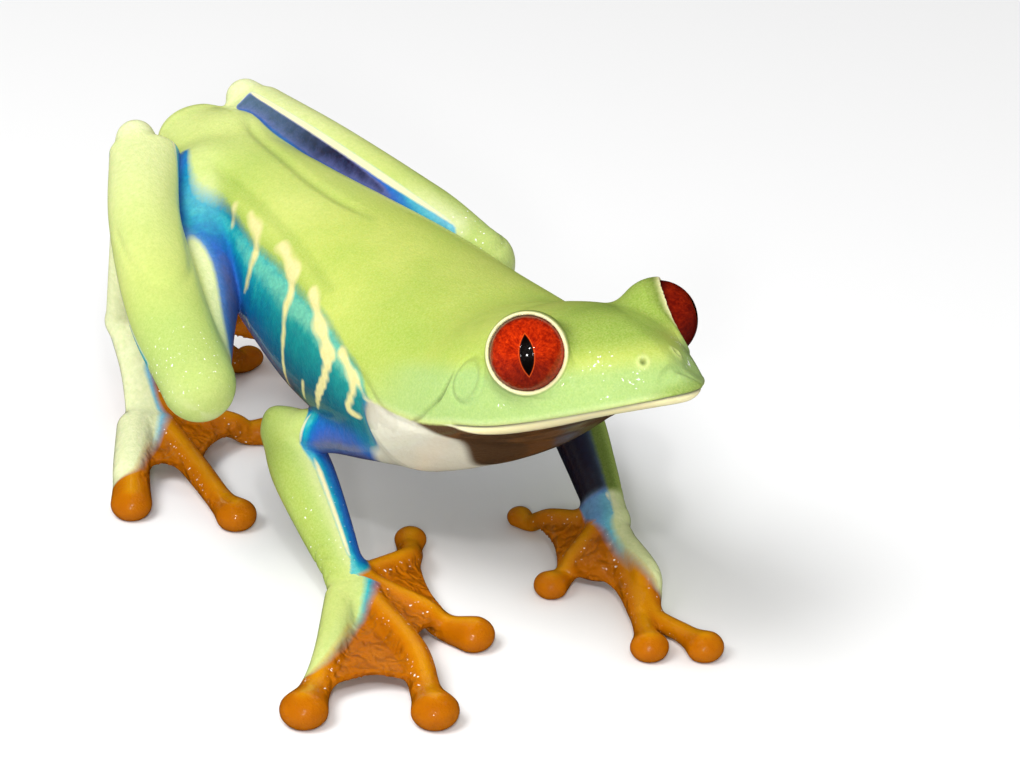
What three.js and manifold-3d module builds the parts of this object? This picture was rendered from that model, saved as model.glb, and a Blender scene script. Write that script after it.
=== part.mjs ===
import * as THREE from "three";
import { mergeVertices } from "three/addons/utils/BufferGeometryUtils.js";
import Module from "manifold-3d";

const wasm = await Module();
wasm.setup();

// Red-eyed tree frog, life size, sitting up on all fours on a flat floor.
// Millimetres. While it is built the trunk lies along Y with the snout toward -Y,
// the frog's left side is +X, its right side is -X, and the floor is z = 0.
// Headings turn from the snout direction (0) toward the frog's left (+90).
// Pitches rise from the horizontal.

const GAP = 0.3;
const WELDS = [0.06, 0.05, 0.04, 0.03, 0.02, 0.015, 0.01, 0.007];
const RIGHT = -1;
const LEFT = 1;

// Bones, the same on both sides.
const HUMERUS = 17.2;
const FOREARM = 15.6;
const FEMUR = 28.2;
const SHANK = 32;
const TARSUS = 20.8;
const METATARSUS = 9.8;
const FINGER_PADS = [1.5, 2.0, 2.2, 2.2];
const TOE_PADS = [1.3, 1.4, 1.75, 2.0, 2.0];
const PAD_THICKNESS = 0.78;
const PAD_RISE = 0.6;
const FORELIMB_FULLNESS = { [RIGHT]: 1, [LEFT]: 0.9 };
const HAND_FULLNESS = { [RIGHT]: 1, [LEFT]: 0.82 };
const DIGIT_MIDDLE = 0.57;
const SPLAY = 7;
const DIGIT_START = 0.85;
const FINGER_RADII = [1.1, 1.2, 1.4, 1.4];
const TOE_RADII = [0.95, 1.2, 1.25, 1.25, 1.7];
const FINGER_ROOTS = [0.8, 0.5, 0, -0.45];
const TOE_ROOTS = [0.6, 0.4, 1.6, 0, -1.5];

// Trunk cross-sections from neck to vent:
// [y, x, height of the middle, half width, rise above it, drop below it].
const TRUNK_SECTIONS = [
  [-30, 0.4, 22.4, 9.4, 5.0, 4.6],
  [-23, 0.2, 21.4, 10.3, 6.4, 6.8],
  [-14, 0.0, 20.6, 10.9, 7.9, 9.4],
  [-5, 0.0, 20.6, 10.5, 8.7, 8.7],
  [4, 0.0, 21.6, 8.7, 8.5, 6.8],
  [12, 0.2, 23.4, 6.9, 7.1, 5.1],
  [19, 0.7, 25.4, 5.6, 5.0, 4.4],
  [25, 1.3, 26.9, 4.2, 3.4, 3.5],
];
const TRUNK_SQUARENESS = 2.15;
const NECK_PLANE_BACK = 12.5;

// Head, in its own frame about the point midway between the eyeballs.
const HEAD_PLACE = new THREE.Vector3(0.5, -33.3, 29.9);
const HEAD_YAW = 3.7;
const HEAD_PITCH = 17.2;
const HEAD_ROLL = 5.4;
// [forward, half width, height of the widest line, top, bottom, squareness]
const HEAD_SECTIONS = [
  [-18, 10.0, -6.0, 1.0, -12.0, 2.15],
  [-13, 10.4, -5.9, 1.6, -10.7, 2.15],
  [-9, 10.4, -5.8, 2.0, -9.3, 2.2],
  [-5, 10.1, -5.6, 2.4, -8.4, 2.2],
  [-1, 9.3, -5.2, 2.5, -7.5, 2.15],
  [3, 7.8, -4.7, 2.1, -6.6, 1.9],
  [6.5, 5.8, -4.4, 0.6, -5.7, 1.6],
  [9.2, 3.7, -4.2, -1.3, -5.05, 1.5],
  [10.1, 2.2, -4.0, -2.1, -4.8, 1.6],
];
const SNOUT_ROUNDING = 0.75;
const EYE_SPREAD = 7.2;
const EYEBALL = 3.05;
const EYE_HEADING = 47.5;
const EYE_PITCH = 15;
const EYE_GAP = 0.2;
const EYE_OPENING_AT = 1.4;
const LID_THICKNESS = 0.52;
const NOSTRIL_AT = [1.9, 7.9, -0.95];
const NOSTRIL = 0.34;
const EAR_AT = [9.6, -5.6, -2.15];
const EAR = [0.55, 1.35, 1.45];
// Line of the mouth: [forward, height] from the tip of the snout to the corner.
const MOUTH_LINE = [
  [14, -3.7],
  [11, -4.0],
  [7, -4.6],
  [2, -5.3],
  [-3, -5.8],
  [-6.8, -5.8],
];
const JAW_BACK = [
  [-7.6, -7.2],
  [-9.2, -10.4],
  [-10.0, -14],
];
const LIP_SWELL = 0.22;
const LIP_HEIGHT = 0.9;

const SHOULDERS = { [RIGHT]: [-5.6, -19.4, 17.8], [LEFT]: [7.1, -16.6, 20.4] };
const HIPS = { [RIGHT]: [-3.2, 16.7, 26.0], [LEFT]: [2.6, 20.4, 26.7] };

// The pose: [heading, pitch] of each bone, and for each digit
// [heading, reach, how far its middle is bent aside, how high its middle arches].
const POSE = {
  [RIGHT]: {
    humerus: [-166, -20.3],
    forearm: [-12, -32.6],
    femur: [-36.6, -14],
    shank: [155.9, 19.7],
    tarsus: [167, -77],
    metatarsus: [-12, -43],
    fingers: [
      [119.1, 13.4, -8, 0.45],
      [28.2, 11.7, 7, 0.45],
      [-14.5, 18.9, 0, 0.45],
      [-48.6, 17.7, 0, 0.45],
    ],
    toes: [
      [112, 10.5, 0, 0.45],
      [94.2, 15.2, 0, 0.45],
      [58, 11.2, 0, 0.45],
      [-9.6, 17.5, 0, 0.45],
      [-42.8, 13.6, -8, 0.45],
    ],
  },
  [LEFT]: {
    humerus: [126, -39],
    forearm: [-22, -23],
    femur: [17.5, -8],
    shank: [-172, 12.4],
    tarsus: [112, -76],
    metatarsus: [15, -38],
    fingers: [
      [-165.4, 9.9, 0, 0.5],
      [-76.5, 8.5, -6, 0.45],
      [-28.6, 17.4, 9, 0.14],
      [-14.3, 18.7, 2, 0.14],
    ],
    toes: [
      [-100, 9, 0, 0.45],
      [-75, 12, 0, 0.45],
      [-15, 11.6, 0, 0.45],
      [20, 16.5, 0, 0.45],
      [60, 13.2, 0, 0.45],
    ],
  },
};

// How far the middle of each leg bone's flesh is bent off its straight line.
const FOREARM_BOW = { [RIGHT]: [0, 0, 0], [LEFT]: [0.1, 0, 0] };
const SHANK_BOW = { [RIGHT]: [-1.4, 0, 0.6], [LEFT]: [-0.2, 0, 0.1] };
const THIGH_BOW = { [RIGHT]: [0.2, 0.7, -1.3], [LEFT]: [-0.8, 0, -2.6] };

const SKIN_GREEN = 0x8fb640;
const SKIN_PALE = 0xdfe2c0;
const SKIN_BLUE = 0x2f62b8;
const SKIN_ORANGE = 0xd27a12;
const EYE_RED = 0xa01408;

const rad = (degrees) => (degrees * Math.PI) / 180;
const vec = (p) => new THREE.Vector3(p[0], p[1], p[2]);
const UP = new THREE.Vector3(0, 0, 1);

function direction(heading, pitch) {
  return new THREE.Vector3(
    Math.cos(rad(pitch)) * Math.sin(rad(heading)),
    -Math.cos(rad(pitch)) * Math.cos(rad(heading)),
    Math.sin(rad(pitch)),
  );
}

function along(from, length, heading, pitch) {
  return from.clone().addScaledVector(direction(heading, pitch), length);
}

function solid(geometry) {
  const plain = geometry.clone();
  plain.deleteAttribute("normal");
  plain.deleteAttribute("uv");
  const merged = mergeVertices(plain, 1e-4);
  const vertProperties = new Float32Array(merged.attributes.position.array);
  const triVerts = new Uint32Array(merged.index.array);
  return new wasm.Manifold(new wasm.Mesh({ numProp: 3, vertProperties, triVerts }));
}

function largest(body) {
  const pieces = body.decompose();
  pieces.sort((a, b) => b.volume() - a.volume());
  return pieces[0];
}

function geometryOf(body) {
  const mesh = body.getMesh();
  const geometry = new THREE.BufferGeometry();
  const places = new THREE.BufferAttribute(new Float32Array(mesh.vertProperties), 3);
  geometry.setAttribute("position", places);
  geometry.setIndex(new THREE.BufferAttribute(new Uint32Array(mesh.triVerts), 1));
  geometry.computeVertexNormals();
  return geometry;
}

// Corners closer together than a weld size become one, which clears the slivers cuts
// leave. The first size that keeps the body closed is taken.
function weld(body) {
  for (const size of WELDS) {
    const welded = weldedAt(body, size);
    if (welded) {
      return welded;
    }
  }
  return body;
}

// True where each edge has exactly two faces.
function closed(index) {
  const faces = new Map();
  for (let i = 0; i < index.length; i += 3) {
    for (let k = 0; k < 3; k += 1) {
      const a = index[i + k];
      const b = index[i + ((k + 1) % 3)];
      const edge = `${Math.min(a, b)} ${Math.max(a, b)}`;
      faces.set(edge, (faces.get(edge) ?? 0) + 1);
    }
  }
  return [...faces.values()].every((count) => count === 2);
}

function weldedAt(body, size) {
  const geometry = geometryOf(body);
  geometry.deleteAttribute("normal");
  const merged = mergeVertices(geometry, size);
  const source = merged.index.array;
  const index = [];
  for (let i = 0; i < source.length; i += 3) {
    const [a, b, c] = source.slice(i, i + 3);
    if (a !== b && b !== c && c !== a) {
      index.push(a, b, c);
    }
  }
  if (!closed(index)) {
    return null;
  }
  const vertProperties = new Float32Array(merged.attributes.position.array);
  const triVerts = new Uint32Array(index);
  try {
    return largest(new wasm.Manifold(new wasm.Mesh({ numProp: 3, vertProperties, triVerts })));
  } catch (error) {
    return null;
  }
}

// One closed tapering body along a smooth line. Each station is
// { at, w, t, b, n }: its place, half width, rise, drop and squareness.
function loft(stations, options = {}) {
  const { up = UP, rings = 12, sides = 12, grow = 0, capStart = 1, capEnd = 1 } = options;
  const places = stations.map((s) => s.at);
  const sizes = stations.map((s) => new THREE.Vector3(s.w, s.t, s.b ?? s.t));
  const forms = stations.map((s) => new THREE.Vector3(s.n ?? 2, 0, 0));
  const line = new THREE.CatmullRomCurve3(places, false, "catmullrom", 0.5);
  const size = new THREE.CatmullRomCurve3(sizes, false, "catmullrom", 0.5);
  const form = new THREE.CatmullRomCurve3(forms, false, "catmullrom", 0.5);
  const rows = [];
  const capSteps = options.capSteps ?? 3;
  const addRow = (u, shrink, push) => {
    const tangent = line.getTangent(u);
    const across = new THREE.Vector3().crossVectors(tangent, up).normalize();
    const rise = new THREE.Vector3().crossVectors(across, tangent).normalize();
    const centre = line.getPoint(u).addScaledVector(tangent, push);
    const s = size.getPoint(u);
    const n = form.getPoint(u).x;
    const row = [];
    for (let i = 0; i < sides; i += 1) {
      const a = (2 * Math.PI * i) / sides;
      const ca = Math.cos(a);
      const sa = Math.sin(a);
      const x = Math.sign(ca) * Math.abs(ca) ** (2 / n) * (s.x + grow) * shrink;
      const tall = sa > 0 ? s.y + grow : s.z + grow;
      const y = Math.sign(sa) * Math.abs(sa) ** (2 / n) * tall * shrink;
      row.push(centre.clone().addScaledVector(across, x).addScaledVector(rise, y));
    }
    rows.push(row);
  };
  const roundness = (u) => {
    const s = size.getPoint(u);
    return Math.min(s.x, (s.y + s.z) / 2) + grow;
  };
  for (let k = capSteps - 1; k >= 1; k -= 1) {
    const a = (Math.PI / 2) * (k / capSteps);
    addRow(0, Math.cos(a), -Math.sin(a) * roundness(0) * capStart);
  }
  for (let k = 0; k <= rings; k += 1) {
    addRow(k / rings, 1, 0);
  }
  for (let k = 1; k < capSteps; k += 1) {
    const a = (Math.PI / 2) * (k / capSteps);
    addRow(1, Math.cos(a), Math.sin(a) * roundness(1) * capEnd);
  }
  const first = line.getPoint(0).addScaledVector(line.getTangent(0), -roundness(0) * capStart);
  const last = line.getPoint(1).addScaledVector(line.getTangent(1), roundness(1) * capEnd);
  const points = [first, ...rows.flat(), last];
  const index = [];
  const at = (row, i) => 1 + row * sides + (i % sides);
  for (let i = 0; i < sides; i += 1) {
    index.push(0, at(0, i), at(0, i + 1));
    index.push(points.length - 1, at(rows.length - 1, i + 1), at(rows.length - 1, i));
    for (let row = 0; row + 1 < rows.length; row += 1) {
      index.push(at(row, i), at(row + 1, i), at(row + 1, i + 1));
      index.push(at(row, i), at(row + 1, i + 1), at(row, i + 1));
    }
  }
  const geometry = new THREE.BufferGeometry().setFromPoints(points);
  geometry.setIndex(index);
  return solid(geometry);
}

function ball(radius, at, stretch = [1, 1, 1], turn = null, detail = [16, 11]) {
  const geometry = new THREE.SphereGeometry(radius, detail[0], detail[1]);
  geometry.scale(stretch[0], stretch[1], stretch[2]);
  if (turn) {
    geometry.applyQuaternion(turn);
  }
  geometry.translate(at.x, at.y, at.z);
  return solid(geometry);
}

function join(bodies) {
  return bodies.reduce((whole, body) => whole.add(body));
}

function cut(body, tools) {
  return tools.reduce((rest, tool) => rest.subtract(tool), body);
}

// ---- trunk ----

function trunk(grow) {
  const stations = TRUNK_SECTIONS.map(([y, x, z, w, t, b]) => (
    { at: new THREE.Vector3(x, y, z), w, t, b, n: TRUNK_SQUARENESS }
  ));
  return loft(stations, { rings: 18, sides: 24, grow, capStart: 0.4, capEnd: 0.8 });
}

// ---- head ----

const headTurn = new THREE.Matrix4()
  .makeTranslation(HEAD_PLACE.x, HEAD_PLACE.y, HEAD_PLACE.z)
  .multiply(new THREE.Matrix4().makeRotationZ(rad(HEAD_YAW)))
  .multiply(new THREE.Matrix4().makeRotationX(rad(-HEAD_PITCH)))
  .multiply(new THREE.Matrix4().makeRotationY(rad(HEAD_ROLL)));
const inHead = (side, forward, height) => (
  new THREE.Vector3(side, -forward, height).applyMatrix4(headTurn)
);
const headUp = new THREE.Vector3(0, 0, 1).transformDirection(headTurn);
const headForward = new THREE.Vector3(0, -1, 0).transformDirection(headTurn);

function headLoft(grow) {
  const stations = HEAD_SECTIONS.map(([forward, w, wide, top, bottom, n]) => (
    { at: inHead(0, forward, wide), w, t: top - wide, b: wide - bottom, n }
  ));
  const options = { up: headUp, rings: 16, sides: 22, grow, capEnd: SNOUT_ROUNDING, capStart: 0.5 };
  return loft(stations, options);
}

function eyeAxis(side) {
  const axis = direction(side * EYE_HEADING, EYE_PITCH);
  return axis.transformDirection(headTurn);
}

function eyeCentre(side) {
  return inHead(side * EYE_SPREAD, 0, 0);
}

function lid(side) {
  return ball(EYEBALL + EYE_GAP + LID_THICKNESS, eyeCentre(side));
}

function eyeSocket(side) {
  const axis = eyeAxis(side);
  const cavity = ball(EYEBALL + EYE_GAP, eyeCentre(side), [1, 1, 1], null, [12, 8]);
  const opening = new THREE.CylinderGeometry(3.7, 3.7, 4, 20);
  const turn = new THREE.Quaternion().setFromUnitVectors(new THREE.Vector3(0, 1, 0), axis);
  opening.applyQuaternion(turn);
  const place = eyeCentre(side).addScaledVector(axis, EYE_OPENING_AT + 2);
  opening.translate(place.x, place.y, place.z);
  return [cavity, solid(opening)];
}

// The outline, seen from the side, of all that belongs to the lower jaw.
function jawRegion(shift) {
  const line = MOUTH_LINE.map(([f, h]) => new THREE.Vector2(f, h + shift));
  const back = JAW_BACK.map(([f, h]) => new THREE.Vector2(f - shift, h));
  const spline = new THREE.SplineCurve(line).getPoints(9);
  const shape = new THREE.Shape([...spline, ...back, new THREE.Vector2(15, -14)]);
  const geometry = new THREE.ExtrudeGeometry(shape, { depth: 40, bevelEnabled: false });
  geometry.translate(0, 0, -20);
  const turn = new THREE.Matrix4().makeBasis(
    new THREE.Vector3(0, -1, 0),
    new THREE.Vector3(0, 0, 1),
    new THREE.Vector3(-1, 0, 0),
  );
  geometry.applyMatrix4(turn);
  geometry.applyMatrix4(headTurn);
  return solid(geometry);
}

function halfSpace(point, normal) {
  const geometry = new THREE.BoxGeometry(200, 200, 100);
  geometry.translate(0, 0, 50);
  geometry.applyQuaternion(new THREE.Quaternion().setFromUnitVectors(UP, normal));
  geometry.translate(point.x, point.y, point.z);
  return solid(geometry);
}

function ear(side, grow) {
  const turn = new THREE.Quaternion().setFromRotationMatrix(headTurn);
  const sizes = EAR.map((s) => s + grow);
  return ball(1, inHead(side * EAR_AT[0], EAR_AT[1], EAR_AT[2]), sizes, turn, [12, 8]);
}

function nostril(side) {
  const place = inHead(side * NOSTRIL_AT[0], NOSTRIL_AT[1], NOSTRIL_AT[2]);
  return ball(NOSTRIL, place, [1, 1.5, 2.4], null, [8, 6]);
}

// ---- limbs ----

const bow = (a, b, s, offset) => a.clone().lerp(b, s).add(offset);

function armOf(side) {
  const pose = POSE[side];
  const shoulder = vec(SHOULDERS[side]);
  const elbow = along(shoulder, HUMERUS, ...pose.humerus);
  const wrist = along(elbow, FOREARM, ...pose.forearm);
  return { shoulder, elbow, wrist };
}

function legOf(side) {
  const pose = POSE[side];
  const hip = vec(HIPS[side]);
  const knee = along(hip, FEMUR, ...pose.femur);
  const heel = along(knee, SHANK, ...pose.shank);
  const instep = along(heel, TARSUS, ...pose.tarsus);
  const sole = along(instep, METATARSUS, ...pose.metatarsus);
  return { hip, knee, heel, instep, sole };
}

const arms = { [RIGHT]: armOf(RIGHT), [LEFT]: armOf(LEFT) };
const legs = { [RIGHT]: legOf(RIGHT), [LEFT]: legOf(LEFT) };

function upperArm(side, grow) {
  const { shoulder, elbow } = arms[side];
  const inward = new THREE.Vector3(-side * 2, -1, 1);
  const stations = [
    { at: shoulder.clone().add(inward), w: 4.0, t: 3.9 },
    { at: bow(shoulder, elbow, 0.3, new THREE.Vector3()), w: 3.0, t: 3.0 },
    { at: bow(shoulder, elbow, 0.65, new THREE.Vector3()), w: 2.2, t: 2.2 },
    { at: bow(shoulder, elbow, 0.98, new THREE.Vector3()), w: 2.1, t: 2.0 },
  ];
  return loft(stations, { rings: 9, sides: 12, grow });
}

function forearm(side, grow) {
  const { elbow, wrist } = arms[side];
  const outward = vec(FOREARM_BOW[side]);
  const full = FORELIMB_FULLNESS[side];
  const stations = [
    { at: elbow.clone(), w: 2.3 * full, t: 2.0 },
    { at: bow(elbow, wrist, 0.25, outward), w: 2.85 * full, t: 2.6 },
    { at: bow(elbow, wrist, 0.6, outward), w: 2.55 * full, t: 2.3 },
    { at: bow(elbow, wrist, 0.98, new THREE.Vector3()), w: 1.9, t: 1.65 },
  ];
  return loft(stations, { rings: 8, sides: 12, grow });
}

function thigh(side, grow) {
  const { hip, knee } = legs[side];
  const inward = vec(THIGH_BOW[side]);
  const stations = [
    { at: hip.clone(), w: 3.7, t: 3.6 },
    { at: bow(hip, knee, 0.3, inward), w: 3.8, t: 3.9 },
    { at: bow(hip, knee, 0.65, inward), w: 3.0, t: 3.3 },
    { at: knee.clone().lerp(hip, 0.03), w: 2.5, t: 2.6 },
  ];
  return loft(stations, { rings: 10, sides: 12, grow });
}

function shank(side, grow) {
  const { knee, heel } = legs[side];
  const outward = vec(SHANK_BOW[side]);
  const stations = [
    { at: knee.clone().lerp(heel, 0.04), w: 3.3, t: 3.1 },
    { at: bow(knee, heel, 0.3, outward), w: 3.6, t: 3.5 },
    { at: bow(knee, heel, 0.65, outward), w: 3.3, t: 3.1 },
    { at: heel.clone().lerp(knee, 0.06), w: 2.65, t: 2.1 },
  ];
  return loft(stations, { rings: 10, sides: 12, grow, capEnd: 0.75 });
}

function tarsus(side, grow) {
  const { heel, instep } = legs[side];
  const stations = [
    { at: heel.clone(), w: 1.95, t: 1.9 },
    { at: heel.clone().lerp(instep, 0.4), w: 1.8, t: 1.7 },
    { at: instep, w: 1.8, t: 1.5 },
  ];
  return loft(stations, { up: direction(0, 0), rings: 6, sides: 10, grow });
}

// A digit runs from its root down to the floor and ends in a round pad.
function digitLine(from, offset, pad, [heading, reachOut, bend, arch], axis) {
  const root = from.clone().add(offset);
  const lean = Math.max(-SPLAY, Math.min(SPLAY, (axis - heading) * 0.45)) + bend;
  const tip = new THREE.Vector3(from.x, from.y, pad * PAD_RISE);
  tip.addScaledVector(direction(heading, 0), reachOut);
  const middle = new THREE.Vector3(from.x, from.y, from.z * arch + 0.7);
  middle.addScaledVector(direction(heading + lean, 0), reachOut * DIGIT_MIDDLE);
  middle.addScaledVector(offset, 0.5);
  return [root, middle, tip];
}

// The part of a digit that lies within the palm or the sole.
function digitBase([root, middle], radius) {
  const stations = [
    { at: root.clone().lerp(middle, 0.15), w: radius * 1.15, t: radius },
    { at: root.clone().lerp(middle, 0.6), w: radius * 1.2, t: radius * 1.05 },
    { at: middle.clone(), w: radius * 1.1, t: radius },
  ];
  return loft(stations, { rings: 2, sides: 6, capSteps: 1 });
}

function digit([root, middle, tip], radius, pad, grow) {
  const neck = tip.clone().lerp(middle, (1.5 * pad) / tip.distanceTo(middle));
  neck.z = Math.max(tip.z, radius * 0.85);
  const stations = [
    { at: root.clone().lerp(middle, DIGIT_START), w: radius * 1.05, t: radius },
    { at: middle, w: radius, t: radius * 0.95 },
    { at: neck, w: radius * 1.05, t: radius * 0.95 },
    { at: tip, w: pad, t: pad * PAD_THICKNESS },
  ];
  return loft(stations, { rings: 5, sides: 7, grow, capEnd: 1 / PAD_THICKNESS });
}

const floorCut = halfSpace(new THREE.Vector3(0, 0, 0), new THREE.Vector3(0, 0, -1));

// Digits are numbered from the innermost. Their roots lie side by side.
function sideways(axis, side, offset) {
  return direction(axis + 90, 0).multiplyScalar(-side * offset);
}

function fingerLine(side, number) {
  const { fingers } = POSE[side];
  const axis = (fingers[1][0] + fingers[2][0]) / 2;
  const offset = sideways(axis, side, FINGER_ROOTS[number - 1]);
  const pad = FINGER_PADS[number - 1] * HAND_FULLNESS[side];
  return digitLine(arms[side].wrist, offset, pad, fingers[number - 1], axis);
}

function finger(side, number, grow) {
  const scale = HAND_FULLNESS[side];
  const pad = FINGER_PADS[number - 1] * scale;
  return digit(fingerLine(side, number), FINGER_RADII[number - 1] * scale, pad, grow);
}

// The two inner toes spring from the instep, the others from the ball of the foot.
function toeLine(side, number) {
  const { instep, sole } = legs[side];
  const { toes, metatarsus } = POSE[side];
  const from = number < 3 ? instep : sole;
  const offset = sideways(metatarsus[0], side, TOE_ROOTS[number - 1]);
  const pad = TOE_PADS[number - 1];
  return digitLine(from, offset, pad, toes[number - 1], metatarsus[0]);
}

function toe(side, number, grow) {
  const pad = TOE_PADS[number - 1];
  return digit(toeLine(side, number), TOE_RADII[number - 1], pad, grow);
}

// A thin web between two neighbouring digits, with a hollow free edge.
function web(lineA, lineB, reachA, reachB, hollow) {
  const curveA = new THREE.CatmullRomCurve3(lineA, false, "catmullrom", 0.5);
  const curveB = new THREE.CatmullRomCurve3(lineB, false, "catmullrom", 0.5);
  const across = 3;
  const outward = 3;
  const half = 0.35;
  const points = [];
  for (const face of [1, -1]) {
    for (let i = 0; i <= outward; i += 1) {
      for (let j = 0; j <= across; j += 1) {
        const v = j / across;
        const sag = 1 - hollow * 4 * v * (1 - v) * (i / outward);
        const u = (0.1 + (i / outward) * 0.9) * sag;
        const a = curveA.getPoint(u * reachA);
        const b = curveB.getPoint(u * reachB);
        const p = a.lerp(b, v);
        p.z += face * half;
        points.push(p);
      }
    }
  }
  const index = [];
  const id = (face, i, j) => face * (outward + 1) * (across + 1) + i * (across + 1) + j;
  const quad = (a, b, c, d) => index.push(a, b, c, a, c, d);
  for (let i = 0; i < outward; i += 1) {
    for (let j = 0; j < across; j += 1) {
      quad(id(0, i, j), id(0, i + 1, j), id(0, i + 1, j + 1), id(0, i, j + 1));
      quad(id(1, i, j), id(1, i, j + 1), id(1, i + 1, j + 1), id(1, i + 1, j));
    }
  }
  for (let j = 0; j < across; j += 1) {
    quad(id(0, 0, j), id(0, 0, j + 1), id(1, 0, j + 1), id(1, 0, j));
    quad(id(0, outward, j + 1), id(0, outward, j), id(1, outward, j), id(1, outward, j + 1));
  }
  for (let i = 0; i < outward; i += 1) {
    quad(id(0, i + 1, 0), id(0, i, 0), id(1, i, 0), id(1, i + 1, 0));
    quad(id(0, i, across), id(0, i + 1, across), id(1, i + 1, across), id(1, i, across));
  }
  const geometry = new THREE.BufferGeometry().setFromPoints(points);
  geometry.setIndex(index);
  const body = solid(geometry);
  if (body.volume() < 0) {
    for (let i = 0; i < index.length; i += 3) {
      [index[i + 1], index[i + 2]] = [index[i + 2], index[i + 1]];
    }
    geometry.setIndex(index);
    return solid(geometry);
  }
  return body;
}

function palm(side) {
  const { wrist } = arms[side];
  const [, second, third] = POSE[side].fingers;
  const heading = (second[0] + third[0]) / 2;
  const out = new THREE.Vector3(wrist.x, wrist.y, 1.9).addScaledVector(direction(heading, 0), 5.5);
  const stations = [
    { at: wrist.clone(), w: 1.8, t: 1.6 },
    { at: wrist.clone().lerp(out, 0.5), w: 2.4, t: 1.45 },
    { at: out, w: 2.8, t: 1.15 },
  ];
  return loft(stations, { rings: 3, sides: 8 });
}

function soleBody(side) {
  const { instep, sole } = legs[side];
  const stations = [
    { at: instep, w: 1.7, t: 1.6 },
    { at: instep.clone().lerp(sole, 0.5), w: 1.7, t: 1.6 },
    { at: sole, w: 2.6, t: 1.35 },
  ];
  return loft(stations, { rings: 3, sides: 8, capEnd: 1.2 });
}

// ---- every node ----

// Pieces are placed in order. Each is cut back by GAP from the ones placed before it.
const placed = [];

function place(name, colour, make, roughness = 0.45) {
  let body = make(0);
  for (const { tool } of placed) {
    if (body.intersect(tool).volume() > 0) {
      body = body.subtract(tool);
    }
  }
  body = weld(largest(body.subtract(floorCut)));
  placed.push({ name, colour, roughness, body, tool: make(GAP) });
}

const neckPoint = inHead(0, -NECK_PLANE_BACK, 0);
const behindNeck = halfSpace(neckPoint, headForward.clone().negate());
const beforeNeck = halfSpace(neckPoint.clone().addScaledVector(headForward, -GAP), headForward);
const sides = [RIGHT, LEFT];

// A low ridge along both edges of the mouth makes the lips.
const lipBand = jawRegion(LIP_HEIGHT).subtract(jawRegion(-GAP - LIP_HEIGHT));
const lips = weld(largest(headLoft(LIP_SWELL).intersect(lipBand)));
const wholeHead = cut(
  join([headLoft(0), lips, lid(RIGHT), lid(LEFT)]),
  [behindNeck, ...sides.flatMap(eyeSocket), ...sides.map((s) => ear(s, GAP)), ...sides.map(nostril)],
);
const solidHead = join([headLoft(GAP), lid(RIGHT), lid(LEFT)]).subtract(behindNeck);
const head = weld(largest(wholeHead.subtract(jawRegion(0))));
const jaw = weld(largest(wholeHead.intersect(jawRegion(-GAP))));
placed.push({ name: "head", colour: SKIN_GREEN, roughness: 0.45, body: head, tool: solidHead });
placed.push({ name: "jaw", colour: SKIN_PALE, roughness: 0.5, body: jaw, tool: jaw });
const torso = weld(largest(trunk(0).subtract(beforeNeck)));
const solidTorso = trunk(GAP);
placed.push({ name: "torso", colour: SKIN_GREEN, roughness: 0.45, body: torso, tool: solidTorso });
for (const side of sides) {
  const tag = side === RIGHT ? "right" : "left";
  const eye = ball(EYEBALL, eyeCentre(side));
  placed.push({ name: `eye_${tag}`, colour: EYE_RED, roughness: 0.1, body: eye, tool: eye });
  const drum = ear(side, 0);
  placed.push({ name: `ear_${tag}`, colour: SKIN_GREEN, roughness: 0.45, body: drum, tool: drum });
}

for (const side of sides) {
  const tag = side === RIGHT ? "right" : "left";
  place(`forearm_${tag}`, SKIN_GREEN, (grow) => forearm(side, grow));
  place(`upper_arm_${tag}`, SKIN_BLUE, (grow) => upperArm(side, grow));
  for (let n = 1; n <= 4; n += 1) {
    place(`finger_${tag}_${n}`, SKIN_ORANGE, (grow) => finger(side, n, grow));
  }
  const lines = [1, 2, 3, 4].map((n) => fingerLine(side, n));
  const bases = lines.map((line, i) => digitBase(line, FINGER_RADII[i]));
  const webs = [
    web(lines[0], lines[1], 0.9, 0.88, 0.24),
    web(lines[1], lines[2], 0.78, 0.62, 0.22),
    web(lines[2], lines[3], 0.8, 0.84, 0.15),
  ];
  const hand = join([palm(side), ...bases, ...webs]);
  place(`hand_${tag}`, SKIN_ORANGE, () => hand);
}

for (const side of sides) {
  const tag = side === RIGHT ? "right" : "left";
  place(`shank_${tag}`, SKIN_GREEN, (grow) => shank(side, grow));
  place(`thigh_${tag}`, SKIN_BLUE, (grow) => thigh(side, grow));
  place(`tarsus_${tag}`, SKIN_GREEN, (grow) => tarsus(side, grow));
  for (let n = 1; n <= 5; n += 1) {
    place(`toe_${tag}_${n}`, SKIN_ORANGE, (grow) => toe(side, n, grow));
  }
  const lines = [1, 2, 3, 4, 5].map((n) => toeLine(side, n));
  const bases = lines.map((line, i) => digitBase(line, TOE_RADII[i]));
  const webs = [
    web(lines[0], lines[1], 0.75, 0.65, 0.16),
    web(lines[1], lines[2], 0.5, 0.4, 0.22),
    web(lines[2], lines[3], 0.68, 0.52, 0.22),
    web(lines[3], lines[4], 0.6, 0.7, 0.22),
  ];
  const foot = join([soleBody(side), ...bases, ...webs]);
  place(`foot_${tag}`, SKIN_ORANGE, () => foot);
}

const group = new THREE.Group();
for (const { name, body, colour, roughness } of placed) {
  const material = new THREE.MeshStandardMaterial({ color: colour, roughness, metalness: 0 });
  const mesh = new THREE.Mesh(geometryOf(body), material);
  mesh.name = name;
  group.add(mesh);
}

// The origin lies under the middle of the frog, on the floor.
const box = new THREE.Box3().setFromObject(group);
const middle = box.getCenter(new THREE.Vector3());
group.position.set(-middle.x, -middle.y, -box.min.z);

export default group;
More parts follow.
